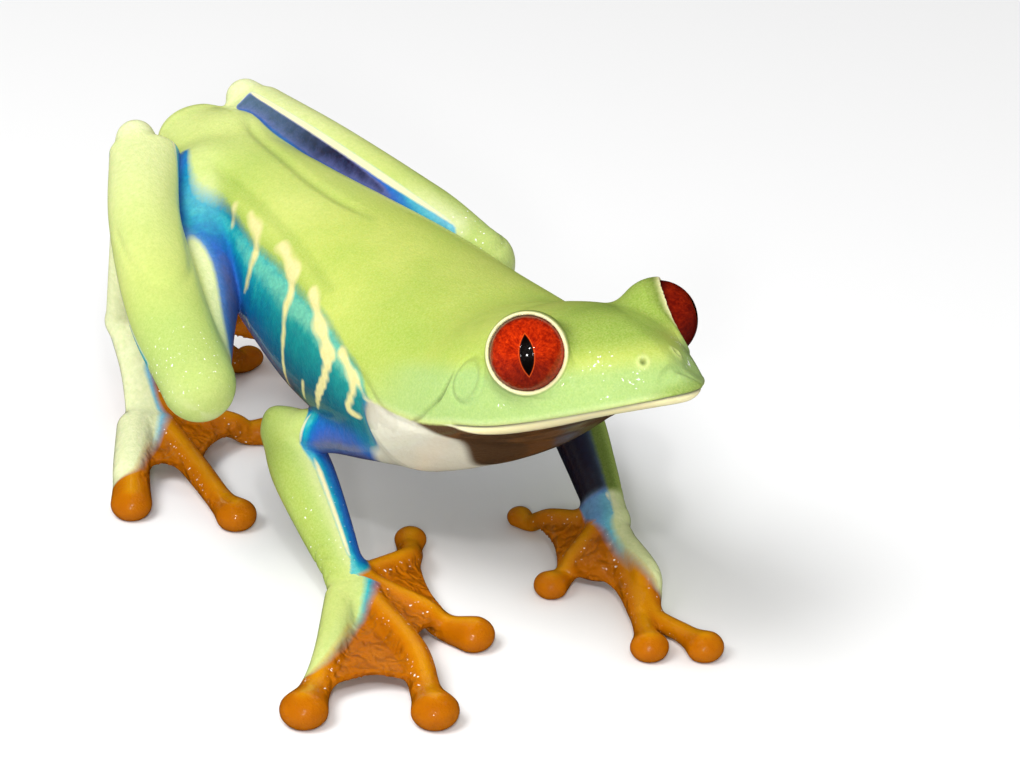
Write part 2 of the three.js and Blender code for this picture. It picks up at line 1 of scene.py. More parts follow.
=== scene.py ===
"""A red-eyed tree frog, life size, sitting up on all fours on a pale floor.

The body is modelled in millimetres in the frog's own frame: snout toward -Y, its left
side +X, floor at z = 0. Every part of it is a level set on one voxel grid. The parts
melt into each other, and one skin is drawn over them all.
"""

import math

import bpy
import numpy as np
import openvdb
from mathutils import Matrix, Vector

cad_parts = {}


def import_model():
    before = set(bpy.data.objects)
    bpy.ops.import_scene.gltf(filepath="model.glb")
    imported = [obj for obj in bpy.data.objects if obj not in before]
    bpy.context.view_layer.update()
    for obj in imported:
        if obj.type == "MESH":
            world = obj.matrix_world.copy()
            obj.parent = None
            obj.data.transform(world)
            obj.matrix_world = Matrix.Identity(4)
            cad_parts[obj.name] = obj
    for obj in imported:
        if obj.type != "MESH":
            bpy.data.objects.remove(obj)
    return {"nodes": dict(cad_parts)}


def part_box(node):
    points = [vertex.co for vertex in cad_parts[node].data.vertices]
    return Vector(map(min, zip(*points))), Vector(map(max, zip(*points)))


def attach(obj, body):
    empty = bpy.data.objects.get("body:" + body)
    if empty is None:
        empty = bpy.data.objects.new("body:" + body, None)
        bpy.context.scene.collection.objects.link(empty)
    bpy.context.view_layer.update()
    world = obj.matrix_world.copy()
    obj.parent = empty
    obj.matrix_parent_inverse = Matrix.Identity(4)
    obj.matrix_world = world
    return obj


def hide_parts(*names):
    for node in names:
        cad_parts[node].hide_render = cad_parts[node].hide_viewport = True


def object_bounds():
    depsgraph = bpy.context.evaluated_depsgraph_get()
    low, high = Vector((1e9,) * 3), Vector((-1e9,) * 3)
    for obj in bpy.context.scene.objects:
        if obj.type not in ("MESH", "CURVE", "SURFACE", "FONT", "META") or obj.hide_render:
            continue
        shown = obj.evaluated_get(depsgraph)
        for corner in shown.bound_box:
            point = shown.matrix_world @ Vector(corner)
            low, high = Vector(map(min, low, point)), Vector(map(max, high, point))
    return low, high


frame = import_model()
CAD_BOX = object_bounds()

MM = 0.001
VOXEL = 0.16
# How far from the surface the distances are kept.
BAND = 2.8
# The skin ends this far above the floor, and this far inside the CAD's box.
FLOOR_GAP = 0.03
BOX_GAP = 0.02
RIGHT, LEFT = -1, 1
SIDES = (RIGHT, LEFT)
TAG = {RIGHT: "right", LEFT: "left"}

# ---- the frog's measures ----

HUMERUS = 17.2
FOREARM = 15.6
FEMUR = 28.2
SHANK = 32
TARSUS = 20.8
METATARSUS = 9.8
FINGER_PADS = (1.45, 1.92, 2.08, 2.1)
TOE_PADS = (1.3, 1.4, 1.7, 1.9, 1.88)
PAD_THICKNESS = 0.78
PAD_RISE = 0.6
FORELIMB_FULLNESS = {RIGHT: 1, LEFT: 0.9}
HAND_FULLNESS = {RIGHT: 1, LEFT: 0.82}
DIGIT_FULLNESS = {RIGHT: 1, LEFT: 0.71}
DIGIT_MIDDLE = 0.57
SPLAY = 7
FINGER_RADII = (1.1, 1.2, 1.36, 1.36)
TOE_RADII = (0.95, 1.25, 1.25, 1.25, 1.7)
FINGER_ROOTS = (0.8, 0.5, 0, -0.4)
TOE_ROOTS = (0.6, 0.4, 1.6, 0, -1.5)

# Trunk from neck to vent: y, x, height of the middle, half width, rise, drop.
TRUNK = (
    (-30, -0.6, 23.4, 8.0, 4.0, 3.2),
    (-23, 0.2, 21.4, 10.3, 6.4, 6.7),
    (-14, 0.0, 20.6, 10.8, 7.9, 9.1),
    (-5, 0.0, 20.6, 10.5, 8.7, 8.7),
    (4, 0.0, 21.6, 8.7, 8.5, 6.8),
    (12, 0.2, 23.4, 6.9, 7.1, 5.1),
    (19, 0.7, 25.4, 5.6, 5.0, 4.4),
    (25, 1.4, 26.8, 3.9, 3.3, 3.5),
)
TRUNK_SQUARENESS = 2.15

# Head, about the point midway between the eyeballs.
HEAD_PLACE = np.array((0.5, -33.3, 29.9))
HEAD_YAW, HEAD_PITCH, HEAD_ROLL = 3.7, 17.2, 5.4
# Forward, half width, height of the widest line, top, bottom, squareness.
HEAD = (
    (-18, 10.0, -6.0, 1.0, -12.0, 2.15),
    (-13, 10.4, -5.9, 1.6, -10.35, 2.15),
    (-9, 10.4, -5.8, 2.0, -8.95, 2.2),
    (-5, 10.1, -5.6, 2.4, -8.0, 2.2),
    (-1, 9.3, -5.2, 2.5, -6.95, 2.15),
    (3, 7.8, -4.7, 2.1, -5.9, 1.9),
    (6.5, 5.6, -4.4, 0.6, -5.3, 1.6),
    (9.2, 3.15, -4.2, -1.4, -4.85, 1.5),
    (10.1, 2.0, -4.0, -2.1, -4.65, 1.6),
)
SNOUT_ROUNDING = 0.75
EYE_SPREAD, EYEBALL = 7.2, 3.3
EYE_HEADING, EYE_PITCH = 47.5, 15
# The lids open this far out from the eyeball's centre: then each step out, and its radius.
EYE_OPENING_AT = 1.3
EYE_OPENING = ((0, 3.15), (1, 4.2), (3, 8))
LID_THICKNESS = 0.3
GAZE_HEADING, GAZE_PITCH = 42.5, 9
NOSTRIL_AT = (1.9, 7.9, -0.95)
EAR_AT, EAR_SIZE = (9.6, -5.6, -2.15), (1.35, 1.45)
# Line of the mouth: forward, height, from the tip of the snout to the corner.
MOUTH_LINE = ((14, -3.7), (11, -4.0), (7, -4.6), (2, -5.3), (-3, -5.8), (-6.8, -5.8))

SHOULDERS = {RIGHT: (-5.6, -19.4, 17.8), LEFT: (7.1, -16.6, 20.4)}
HIPS = {RIGHT: (-3.2, 16.7, 26.0), LEFT: (2.6, 20.4, 26.7)}

# The pose: heading and pitch of each bone, and for each digit its heading, its reach,
# how far its middle is bent aside and how high its middle arches.
POSE = {
    RIGHT: {
        "humerus": (-166, -20.3),
        "forearm": (-12, -32.6),
        "femur": (-36.6, -14),
        "shank": (155.9, 19.7),
        "tarsus": (167, -77),
        "metatarsus": (-12, -43),
        "fingers": (
            (119.1, 13.4, -8, 0.45),
            (28.2, 11.7, 7, 0.45),
            (-14.5, 18.9, 0, 0.45),
            (-48.6, 17.7, -3.5, 0.45),
        ),
        "toes": (
            (112, 10.5, 0, 0.45),
            (94.2, 15.2, 0, 0.45),
            (58, 11.2, 0, 0.45),
            (-9.6, 17.5, 0, 0.45),
            (-42.8, 13.6, -8, 0.45),
        ),
    },
    LEFT: {
        "humerus": (126, -39),
        "forearm": (-22, -23),
        "femur": (17.5, -8),
        "shank": (-172, 12.4),
        "tarsus": (112, -76),
        "metatarsus": (15, -38),
        "fingers": (
            (-165.4, 9.9, 0, 0.5),
            (-76.5, 8.5, -6, 0.45),
            (-28.6, 17.4, 9, 0.14),
            (-14.3, 18.7, -5, 0.14),
        ),
        "toes": (
            (-128, 9, 0, 0.45),
            (-108, 12, 0, 0.45),
            (-15, 11.6, 0, 0.45),
            (20, 16.5, 0, 0.45),
            (60, 13.2, 0, 0.45),
        ),
    },
}
FOREARM_BOW = {RIGHT: (0, 0, 0), LEFT: (0.1, 0, 0)}
SHANK_BOW = {RIGHT: (-1.3, 0, 0.6), LEFT: (-0.2, 0, 0.1)}
HEEL_SPREAD = {RIGHT: 0.45, LEFT: 0}
THIGH_BOW = {RIGHT: (0.2, 0.7, -1.3), LEFT: (-0.8, 0, -2.6)}

UP = np.array((0.0, 0.0, 1.0))


def direction(heading, pitch=0):
    h, p = math.radians(heading), math.radians(pitch)
    return np.array((math.cos(p) * math.sin(h), -math.cos(p) * math.cos(h), math.sin(p)))


def unit(v):
    return v / np.linalg.norm(v, axis=-1, keepdims=True)


def length(rows):
    return np.linalg.norm(rows, axis=1)


def mix(a, b, s):
    return a + (b - a) * s


# The raised outer edge of the far hand, from its wrist on: places and radii.
KNUCKLE_START = 0.9
KNUCKLE = (((9.8, -29.9, 3.3), 1.2), ((9.0, -31.4, 2.1), 1.25), ((7.9, -32.8, 1.4), 1.0))
# Half a web's thickness. How far each web reaches along the digit before it and after it,
# and how hollow it is.
WEB_HALF = 0.26
HAND_WEBS = ((0.9, 0.88, 0.24), (0.76, 0.6, 0.22), (0.8, 0.84, 0.17))
FOOT_WEBS = ((0.75, 0.65, 0.16), (0.5, 0.4, 0.22), (0.68, 0.52, 0.22), (0.56, 0.62, 0.26))

# ---- joints of the skeleton ----


def arm_of(side):
    pose = POSE[side]
    shoulder = np.array(SHOULDERS[side], float)
    elbow = shoulder + HUMERUS * direction(*pose["humerus"])
    wrist = elbow + FOREARM * direction(*pose["forearm"])
    return shoulder, elbow, wrist


def leg_of(side):
    pose = POSE[side]
    hip = np.array(HIPS[side], float)
    knee = hip + FEMUR * direction(*pose["femur"])
    heel = knee + SHANK * direction(*pose["shank"])
    instep = heel + TARSUS * direction(*pose["tarsus"])
    sole = instep + METATARSUS * direction(*pose["metatarsus"])
    return hip, knee, heel, instep, sole


def medial(heading, side):
    """The level direction across a bone of this heading, toward the body."""
    return direction(heading - 90 * side)


def sideways(axis, side, offset):
    return direction(axis + 90) * -side * offset


def digit_line(start, offset, pad, heading, reach, bend, arch, axis):
    """Root, middle and tip of a digit that comes down to the floor."""
    lean = max(-SPLAY, min(SPLAY, (axis - heading) * 0.45)) + bend
    tip = np.array((start[0], start[1], pad * PAD_RISE)) + direction(heading) * reach
    middle = np.array((start[0], start[1], start[2] * arch + 0.7))
    middle = middle + direction(heading + lean) * reach * DIGIT_MIDDLE + offset * 0.5
    return np.array((start + offset, middle, tip))


def finger_lines(side):
    fingers = POSE[side]["fingers"]
    axis = (fingers[1][0] + fingers[2][0]) / 2
    wrist = arm_of(side)[2]
    lines = []
    for finger, root, pad in zip(fingers, FINGER_ROOTS, FINGER_PADS):
        offset = sideways(axis, side, root)
        pad = pad * HAND_FULLNESS[side]
        lines.append(digit_line(wrist, offset, pad, *finger, axis))
    return lines


def toe_lines(side):
    instep, sole = leg_of(side)[3:]
    axis = POSE[side]["metatarsus"][0]
    lines = []
    for n, toe in enumerate(POSE[side]["toes"]):
        start = instep if n < 2 else sole
        offset = sideways(axis, side, TOE_ROOTS[n])
        lines.append(digit_line(start, offset, TOE_PADS[n], *toe, axis))
    return lines


# ---- level sets ----


def catmull(table, u):
    """A smooth curve through the rows of a table, at each u from 0 to 1."""
    table = np.asarray(table, float)
    rows = len(table) - 1
    padded = np.vstack((2 * table[0] - table[1], table, 2 * table[-1] - table[-2]))
    at = np.clip(np.asarray(u, float) * rows, 0, rows - 1e-9)
    i = at.astype(int)
    t = (at - i)[:, None]
    p0, p1, p2, p3 = padded[i], padded[i + 1], padded[i + 2], padded[i + 3]
    v0, v1 = (p2 - p0) * 0.5, (p3 - p1) * 0.5
    a = 2 * p1 - 2 * p2 + v0 + v1
    b = -3 * p1 + 3 * p2 - 2 * v0 - v1
    return ((a * t + b) * t + v0) * t + p1


def tube_mesh(stations, up=UP, rings=40, sides=40, cap_start=1.0, cap_end=1.0, cap_steps=6):
    """A closed tapering body through stations of x, y, z, half width, rise, drop and
    squareness. Returns its points and its triangles and quads."""
    stations = np.asarray(stations, float)
    u = np.linspace(0, 1, rings + 1)
    table = catmull(stations, u)
    ahead = unit(catmull(stations[:, :3], u + 1e-4) - catmull(stations[:, :3], u - 1e-4))
    ahead[-1] = unit(table[-1, :3] - catmull(stations[:, :3], [1 - 1e-4])[0])
    ahead[0] = unit(catmull(stations[:, :3], [1e-4])[0] - table[0, :3])
    rounds = np.minimum(table[:, 3], (table[:, 4] + table[:, 5]) / 2)
    steps = np.arange(1, cap_steps) / cap_steps * math.pi / 2
    shrink = np.concatenate((np.cos(steps[::-1]), np.ones(rings + 1), np.cos(steps)))
    push = np.concatenate(
        (
            -np.sin(steps[::-1]) * rounds[0] * cap_start,
            np.zeros(rings + 1),
            np.sin(steps) * rounds[-1] * cap_end,
        )
    )
    lap = np.concatenate(
        (np.zeros(cap_steps - 1, int), np.arange(rings + 1), np.full(cap_steps - 1, rings))
    )
    table, ahead = table[lap], ahead[lap]
    across = unit(np.cross(ahead, up))
    rise = unit(np.cross(across, ahead))
    angle = np.linspace(0, 2 * math.pi, sides, endpoint=False)
    power = 2 / table[:, 6:7]
    ca, sa = np.cos(angle), np.sin(angle)
    x = np.sign(ca) * np.abs(ca) ** power * table[:, 3:4] * shrink[:, None]
    tall = np.where(sa > 0, table[:, 4:5], table[:, 5:6])
    y = np.sign(sa) * np.abs(sa) ** power * tall * shrink[:, None]
    centre = table[:, :3] + ahead * push[:, None]
    points = centre[:, None] + across[:, None] * x[..., None] + rise[:, None] * y[..., None]
    count = len(table)
    first = table[0, :3] - ahead[0] * rounds[0] * cap_start
    last = table[-1, :3] + ahead[-1] * rounds[-1] * cap_end
    points = np.vstack((points.reshape(-1, 3), first, last))
    i = np.arange(sides)
    j = (i + 1) % sides
    rows = np.arange(count - 1)[:, None] * sides
    quads = np.stack((rows + i, rows + sides + i, rows + sides + j, rows + j), -1).reshape(-1, 4)
    tail = (count - 1) * sides
    ends = np.vstack(
        (
            np.stack((np.full(sides, count * sides), i, j), -1),
            np.stack((np.full(sides, count * sides + 1), tail + j, tail + i), -1),
        )
    )
    return points, ends, quads


def ball_mesh(radius, centre):
    """A ball, as two caps on a very short tube."""
    table = [(0, 0, -0.001, 1, 1, 1, 2), (0, 0, 0.001, 1, 1, 1, 2)]
    up = np.array((0.0, 1.0, 0.0))
    points, ends, quads = tube_mesh(table, up, rings=1, sides=48, cap_steps=12)
    return points * radius + centre, ends, quads


class Patch:
    """Distances from a surface in a box of the voxel grid, in millimetres, negative inside."""

    def __init__(self, first, values):
        self.first = np.asarray(first, int)
        self.values = values

    @property
    def last(self):
        return self.first + self.values.shape

    def inside(self, other):
        """The slices of this patch that another patch's box covers."""
        low = other.first - self.first
        return tuple(slice(a, a + n) for a, n in zip(low, other.values.shape))

    def places(self):
        """Coordinates of the voxels along x, y and z, ready to broadcast."""
        axes = [(f + np.arange(n)) * VOXEL for f, n in zip(self.first, self.values.shape)]
        return np.ix_(*[axis.astype(np.float32) for axis in axes])

    def sample(self, points):
        """The distance at each point, by linear interpolation."""
        at = points / VOXEL - self.first
        limit = np.array(self.values.shape) - 1.001
        outside = ((at < 0) | (at > limit)).any(1)
        at = np.clip(at, 0, limit)
        i = at.astype(int)
        f = at - i
        total = np.zeros(len(points))
        for corner in range(8):
            step = np.array([(corner >> k) & 1 for k in range(3)])
            weight = np.prod(np.where(step, f, 1 - f), axis=1)
            x, y, z = (i + step).T
            total += weight * self.values[x, y, z]
        total[outside] = BAND
        return total


def level(mesh):
    """The level set of a closed mesh, in a box that holds its narrow band."""
    points, ends, quads = mesh
    points = np.ascontiguousarray(points, np.float32)
    grid = openvdb.FloatGrid.createLevelSetFromPolygons(
        points,
        triangles=np.ascontiguousarray(ends, np.uint32),
        quads=np.ascontiguousarray(quads, np.uint32),
        transform=openvdb.createLinearTransform(voxelSize=VOXEL),
        halfWidth=BAND / VOXEL,
    )
    reach = int(BAND / VOXEL) + 2
    low = np.floor(points.min(0) / VOXEL).astype(int) - reach
    high = np.ceil(points.max(0) / VOXEL).astype(int) + reach
    values = np.empty(high - low, np.float32)
    grid.copyToArray(values, ijk=tuple(int(n) for n in low))
    return Patch(low, values)


def melt(a, b, k):
    """The smooth smaller of two distances, where k is how wide they blend."""
    h = np.maximum(k - np.abs(a - b), 0) / k
    return np.minimum(a, b) - h * h * k * 0.25


def join(base, piece, k):
    """Two patches as one. k is a width in millimetres, or a function of place."""
    low = np.minimum(base.first, piece.first)
    high = np.maximum(base.last, piece.last)
    whole = Patch(low, np.full(high - low, BAND, np.float32))
    whole.values[whole.inside(base)] = base.values
    part = whole.inside(piece)
    width = k(*piece.places()) if callable(k) else k
    whole.values[part] = melt(whole.values[part], piece.values, width)
    return whole


def join_all(patches, k):
    whole = patches[0]
    for patch in patches[1:]:
        whole = join(whole, patch, k)
    return whole


def near(point, reach, close, far):
    """A blend width that is wide at a point and narrow beyond its reach."""

    def width(x, y, z):
        square = (x - point[0]) ** 2 + (y - point[1]) ** 2 + (z - point[2]) ** 2
        return far + (close - far) * np.exp(-square / reach**2)

    return width


def carve(base, piece, k):
    """Takes a patch out of another, with a rounded edge."""
    part = base.inside(piece)
    low = [max(s.start, 0) for s in part]
    high = [min(s.stop, n) for s, n in zip(part, base.values.shape)]
    part = tuple(slice(a, b) for a, b in zip(low, high))
    cut = tuple(
        slice(p.start + f - g, p.stop + f - g)
        for p, f, g in zip(part, base.first, piece.first)
    )
    base.values[part] = -melt(-base.values[part], piece.values[cut], k)


# ---- the parts of the body ----


def rotation(axis, degrees):
    return np.array(Matrix.Rotation(math.radians(degrees), 3, axis))


HEAD_TURN = rotation("Z", HEAD_YAW) @ rotation("X", -HEAD_PITCH) @ rotation("Y", HEAD_ROLL)


def in_head(side, forward, height):
    return HEAD_PLACE + HEAD_TURN @ np.array((side, -forward, height))


def head_coordinates(points):
    """Side, forward and height of points in the head's own frame."""
    local = (points - HEAD_PLACE) @ HEAD_TURN
    return local[:, 0], -local[:, 1], local[:, 2]


def eye_axis(side):
    return HEAD_TURN @ direction(side * EYE_HEADING, EYE_PITCH)


def eye_centre(side):
    return in_head(side * EYE_SPREAD, 0, 0)


def trunk_patch():
    stations = [(x, y, z, w, t, b, TRUNK_SQUARENESS) for y, x, z, w, t, b in TRUNK]
    return level(tube_mesh(stations, rings=80, sides=90, cap_start=0.4, cap_end=0.8))


def head_patch():
    stations = []
    for forward, w, wide, top, bottom, n in HEAD:
        stations.append((*in_head(0, forward, wide), w, top - wide, wide - bottom, n))
    up = HEAD_TURN @ UP
    return level(tube_mesh(stations, up, 80, 90, 0.5, SNOUT_ROUNDING))


def limb(stations, up=UP, cap_end=1.0):
    """A limb of rounded sections: place, half width and half height."""
    rows = [(*at, w, t, t, 2) for at, w, t in stations]
    return level(tube_mesh(rows, up, cap_end=cap_end))


def upper_arm_patch(side):
    shoulder, elbow, _ = arm_of(side)
    inward = np.array((-side * 2, -1, 1))
    return limb(
        [
            (shoulder + inward, 4.0, 3.9),
            (mix(shoulder, elbow, 0.3), 3.0, 3.0),
            (mix(shoulder, elbow, 0.65), 2.1, 2.1),
            (mix(shoulder, elbow, 0.98), 2.0, 1.85),
        ]
    )


def forearm_patch(side):
    _, elbow, wrist = arm_of(side)
    bow = np.array(FOREARM_BOW[side])
    full = FORELIMB_FULLNESS[side]
    return limb(
        [
            (elbow, 2.2 * full, 1.9),
            (mix(elbow, wrist, 0.25) + bow, 2.75 * full, 2.5),
            (mix(elbow, wrist, 0.6) + bow, 2.4 * full, 2.2),
            (mix(elbow, wrist, 0.98), 1.72, 1.55),
        ]
    )


def thigh_patch(side):
    hip, knee = leg_of(side)[:2]
    bow = np.array(THIGH_BOW[side])
    return limb(
        [
            (hip, 3.7, 3.6),
            (mix(hip, knee, 0.3) + bow, 3.8, 3.9),
            (mix(hip, knee, 0.65) + bow, 3.0, 3.3),
            (mix(knee, hip, 0.03), 2.5, 2.6),
        ]
    )


def shank_patch(side):
    _, knee, heel = leg_of(side)[:3]
    bow = np.array(SHANK_BOW[side])
    inward = medial(POSE[side]["shank"][0] + 180, side)
    return limb(
        [
            (mix(knee, heel, 0.04), 3.2, 3.0),
            (mix(knee, heel, 0.3) + bow, 3.5, 3.4),
            (mix(knee, heel, 0.65) + bow, 3.2, 3.0),
            (mix(heel, knee, 0.06) + inward * HEEL_SPREAD[side], 2.7 + HEEL_SPREAD[side], 2.0),
        ],
        cap_end=0.7,
    )


def tarsus_patch(side):
    heel, instep = leg_of(side)[2:4]
    return limb(
        [
            (heel, 1.8, 1.75),
            (mix(heel, instep, 0.4), 1.75, 1.65),
            (instep, 1.6, 1.4),
        ],
        up=direction(0),
    )


def digit_patch(line, radius, pad):
    root, middle, tip = line
    neck = mix(tip, middle, 1.5 * pad / np.linalg.norm(tip - middle))
    neck[2] = max(tip[2], radius * 0.85)
    rows = [
        (*mix(root, middle, 0.2), radius * 1.1, radius, radius, 2),
        (*middle, radius, radius * 0.95, radius * 0.95, 2),
        (*neck, radius * 1.0, radius * 0.9, radius * 0.9, 2),
        (*tip, pad, pad * PAD_THICKNESS, pad * PAD_THICKNESS, 2),
    ]
    return level(tube_mesh(rows, rings=36, sides=28, cap_end=1 / PAD_THICKNESS))


def web_patch(line_a, line_b, reach_a, reach_b, hollow):
    """The skin between two digits, thin, with a hollow free edge."""
    across, outward = 16, 22
    v = np.linspace(0, 1, across + 1)
    faces = []
    for face in (1, -1):
        rows = []
        for out in np.linspace(0, 1, outward + 1):
            sag = 1 - hollow * 4 * v * (1 - v) * out
            u = (0.1 + out * 0.9) * sag
            a = catmull(line_a, u * reach_a)
            b = catmull(line_b, u * reach_b)
            row = mix(a, b, v[:, None])
            row[:, 2] += face * WEB_HALF
            rows.append(row)
        faces.append(np.array(rows))
    points = np.vstack([f.reshape(-1, 3) for f in faces])
    wide = across + 1
    block = (outward + 1) * wide
    quads = []
    for i in range(outward):
        for j in range(across):
            a, b = i * wide + j, i * wide + j + 1
            c, d = a + wide, b + wide
            quads += [(a, c, d, b), (block + a, block + b, block + d, block + c)]
    ring = [(0, j) for j in range(across)] + [(i, across) for i in range(outward)]
    ring += [(outward, j) for j in range(across, 0, -1)] + [(i, 0) for i in range(outward, 0, -1)]
    rim = [i * wide + j for i, j in ring]
    for a, b in zip(rim, rim[1:] + rim[:1]):
        quads.append((a, b, block + b, block + a))
    return level((points, np.empty((0, 3), int), np.array(quads)))


def palm_patch(side):
    wrist = arm_of(side)[2]
    fingers = POSE[side]["fingers"]
    heading = (fingers[1][0] + fingers[2][0]) / 2
    out = np.array((wrist[0], wrist[1], 1.9)) + direction(heading) * 5.5
    full = HAND_FULLNESS[side]
    palm = limb(
        [
            (wrist, 1.65 * full, 1.5 * full),
            (mix(wrist, out, 0.5), 2.3 * full, 1.4),
            (out, 2.8 * full, 1.15),
        ]
    )
    if side == RIGHT:
        return palm
    knuckle = [(np.array(at), r, r) for at, r in ((wrist, KNUCKLE_START), *KNUCKLE)]
    return join(palm, limb(knuckle), 0.9)


def sole_patch(side):
    instep, sole = leg_of(side)[3:]
    return limb([(instep, 1.5, 1.4), (mix(instep, sole, 0.5), 1.65, 1.5), (sole, 2.6, 1.35)])


def paw_patch(core, lines, radii, pads, webs):
    digits = [digit_patch(*each) for each in zip(lines, radii, pads)]
    skins = [web_patch(a, b, *web) for a, b, web in zip(lines, lines[1:], webs)]
    paw = join_all([core, *digits], 0.9)
    return join_all([paw, *skins], 0.5)


def hand_patch(side):
    full = HAND_FULLNESS[side]
    radii = [r * DIGIT_FULLNESS[side] for r in FINGER_RADII]
    pads = [p * full for p in FINGER_PADS]
    return paw_patch(palm_patch(side), finger_lines(side), radii, pads, HAND_WEBS)


def foot_patch(side):
    return paw_patch(sole_patch(side), toe_lines(side), TOE_RADII, TOE_PADS, FOOT_WEBS)


def lid_patch(side):
    return level(ball_mesh(EYEBALL + LID_THICKNESS, eye_centre(side)))


def sockets(body):
    """Cuts the hollows that the eyes sit in, and the openings between the lids."""
    for side in SIDES:
        carve(body, level(ball_mesh(EYEBALL - 0.02, eye_centre(side))), 0.1)
        axis = eye_axis(side)
        start = eye_centre(side) + axis * EYE_OPENING_AT
        rows = [(*(start + axis * step), r, r, r, 2) for step, r in EYE_OPENING]
        carve(body, level(tube_mesh(rows, HEAD_TURN @ UP, 12, 80, 0, 0, 2)), 0.2)


def build_body():
    """The whole frog's level set, and each part's own."""
    head = join_all([head_patch(), lid_patch(RIGHT), lid_patch(LEFT)], 1.4)
    parts = {"torso": trunk_patch(), "head": head}
    body = join(parts["torso"], head, 1.2)
    for side in SIDES:
        tag = TAG[side]
        shoulder, elbow, _ = arm_of(side)
        hip, knee, heel, instep, _ = leg_of(side)
        arm = {
            "upper_arm": upper_arm_patch(side),
            "forearm": forearm_patch(side),
            "hand": hand_patch(side),
        }
        leg = {
            "thigh": thigh_patch(side),
            "shank": shank_patch(side),
            "tarsus": tarsus_patch(side),
            "foot": foot_patch(side),
        }
        limb_one = join(arm["upper_arm"], arm["forearm"], near(elbow, 3, 1.6, 0.3))
        limb_one = join(limb_one, arm["hand"], 1.2)
        limb_two = join(leg["thigh"], leg["shank"], near(knee, 4, 2.0, 0.25))
        limb_two = join(limb_two, leg["tarsus"], near(heel, 3, 1.6, 0.25))
        limb_two = join(limb_two, leg["foot"], near(instep, 4, 0.6, 0.25))
        body = join(body, limb_one, near(shoulder, 7, 2.6, 0.3))
        body = join(body, limb_two, near(hip, 7, 2.6, 0.3))
        for name, patch in {**arm, **leg}.items():
            parts[f"{name}_{tag}"] = patch
    sockets(body)
    height = body.places()[2]
    body.values = np.maximum(body.values, FLOOR_GAP - height).astype(np.float32)
    return body, parts


def draw_skin(body):
    """The zero surface of the level set, as points and quads."""
    grid = openvdb.FloatGrid(BAND)
    grid.transform = openvdb.createLinearTransform(voxelSize=VOXEL)
    grid.copyFromArray(body.values, ijk=tuple(int(n) for n in body.first), tolerance=0.0)
    points, quads = grid.convertToQuads(0.0)
    points, quads = points.astype(float), quads.astype(int)
    return keep_largest(points, quads)


def keep_largest(points, quads):
    """The largest connected piece of a surface."""
    label = np.arange(len(points))
    edges = np.vstack((quads[:, :2], quads[:, 1:3], quads[:, 2:4]))
    while True:
        low = np.minimum(label[edges[:, 0]], label[edges[:, 1]])
        fresh = label.copy()
        np.minimum.at(fresh, edges[:, 0], low)
        np.minimum.at(fresh, edges[:, 1], low)
        fresh = fresh[fresh]
        if (fresh == label).all():
            break
        label = fresh
    names, counts = np.unique(label, return_counts=True)
    kept = label == names[counts.argmax()]
    index = np.cumsum(kept) - 1
    return points[kept], index[quads[kept[quads[:, 0]]]]


def neighbours(quads, count):
    """The edges of a surface, and how many meet at each point."""
    edges = np.vstack((quads[:, [0, 1]], quads[:, [1, 2]], quads[:, [2, 3]], quads[:, [3, 0]]))
    edges = np.unique(np.sort(edges, 1), axis=0)
    degree = np.bincount(edges.ravel(), minlength=count).astype(float)
    return edges, degree[:, None]


def gather(index, vectors, count):
    """At each of count places, the sum of the vectors that the index sends there."""
    return np.stack([np.bincount(index, column, count) for column in vectors.T], 1)


def relax(points, quads, rounds):
    """Evens the surface out without shrinking it."""
    edges, degree = neighbours(quads, len(points))
    a, b = edges.T
    for step in range(rounds * 2):
        total = gather(a, points[b], len(points)) + gather(b, points[a], len(points))
        pull = total / degree - points
        points = points + pull * (0.5 if step % 2 == 0 else -0.52)
    return points


def refine(points, quads, chosen):
    """Splits the chosen quads in four; their neighbours keep the new edge points."""
    corners = quads[chosen]
    edges = np.vstack([np.sort(corners[:, [i, (i + 1) % 4]], 1) for i in range(4)])
    edges = np.unique(edges, axis=0)
    code = edges[:, 0] * len(points) + edges[:, 1]

    def midpoint(a, b):
        key = np.minimum(a, b) * len(points) + np.maximum(a, b)
        at = np.clip(np.searchsorted(code, key), 0, len(code) - 1)
        return np.where(code[at] == key, len(points) + at, -1)

    middles = np.stack([midpoint(quads[:, i], quads[:, (i + 1) % 4]) for i in range(4)], 1)
    whole = (middles >= 0).all(1)
    centre = len(points) + len(edges) + np.arange(whole.sum())
    inner, mids = quads[whole], middles[whole]
    small = [
        np.stack((inner[:, i], mids[:, i], centre, mids[:, (i + 3) % 4]), 1) for i in range(4)
    ]
    faces = np.vstack(small).tolist() + quads[(middles < 0).all(1)].tolist()
    border = ~whole & (middles >= 0).any(1)
    for quad, middle in zip(quads[border].tolist(), middles[border].tolist()):
        faces.append([v for pair in zip(quad, middle) for v in pair if v >= 0])
    halves = points[edges].mean(1)
    centres = points[inner].mean(1)
    return np.vstack((points, halves, centres)), faces


body, parts = build_body()
points, quads = draw_skin(body)
points = relax(points, quads, 4)

# The model's frame is the frog's own, moved so that its origin is under the frog's middle.
# The middle of the CAD's right eye says how far.
low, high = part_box("eye_right")
SHIFT = (np.array(low) + np.array(high)) / 2 / MM - eye_centre(RIGHT)


def place(v):
    """A point of the frog's frame as metres in the model's frame."""
    return Vector((np.asarray(v) + SHIFT) * MM)


def link(name, data):
    thing = bpy.data.objects.new(name, data)
    bpy.context.scene.collection.objects.link(thing)
    return thing


def new_mesh(name, points, faces):
    """A smooth-shaded object from points in the frog's frame."""
    mesh = bpy.data.meshes.new(name)
    mesh.from_pydata(((points + SHIFT) * MM).tolist(), [], faces)
    mesh.update()
    mesh.polygons.foreach_set("use_smooth", np.ones(len(faces), bool))
    return link(name, mesh)


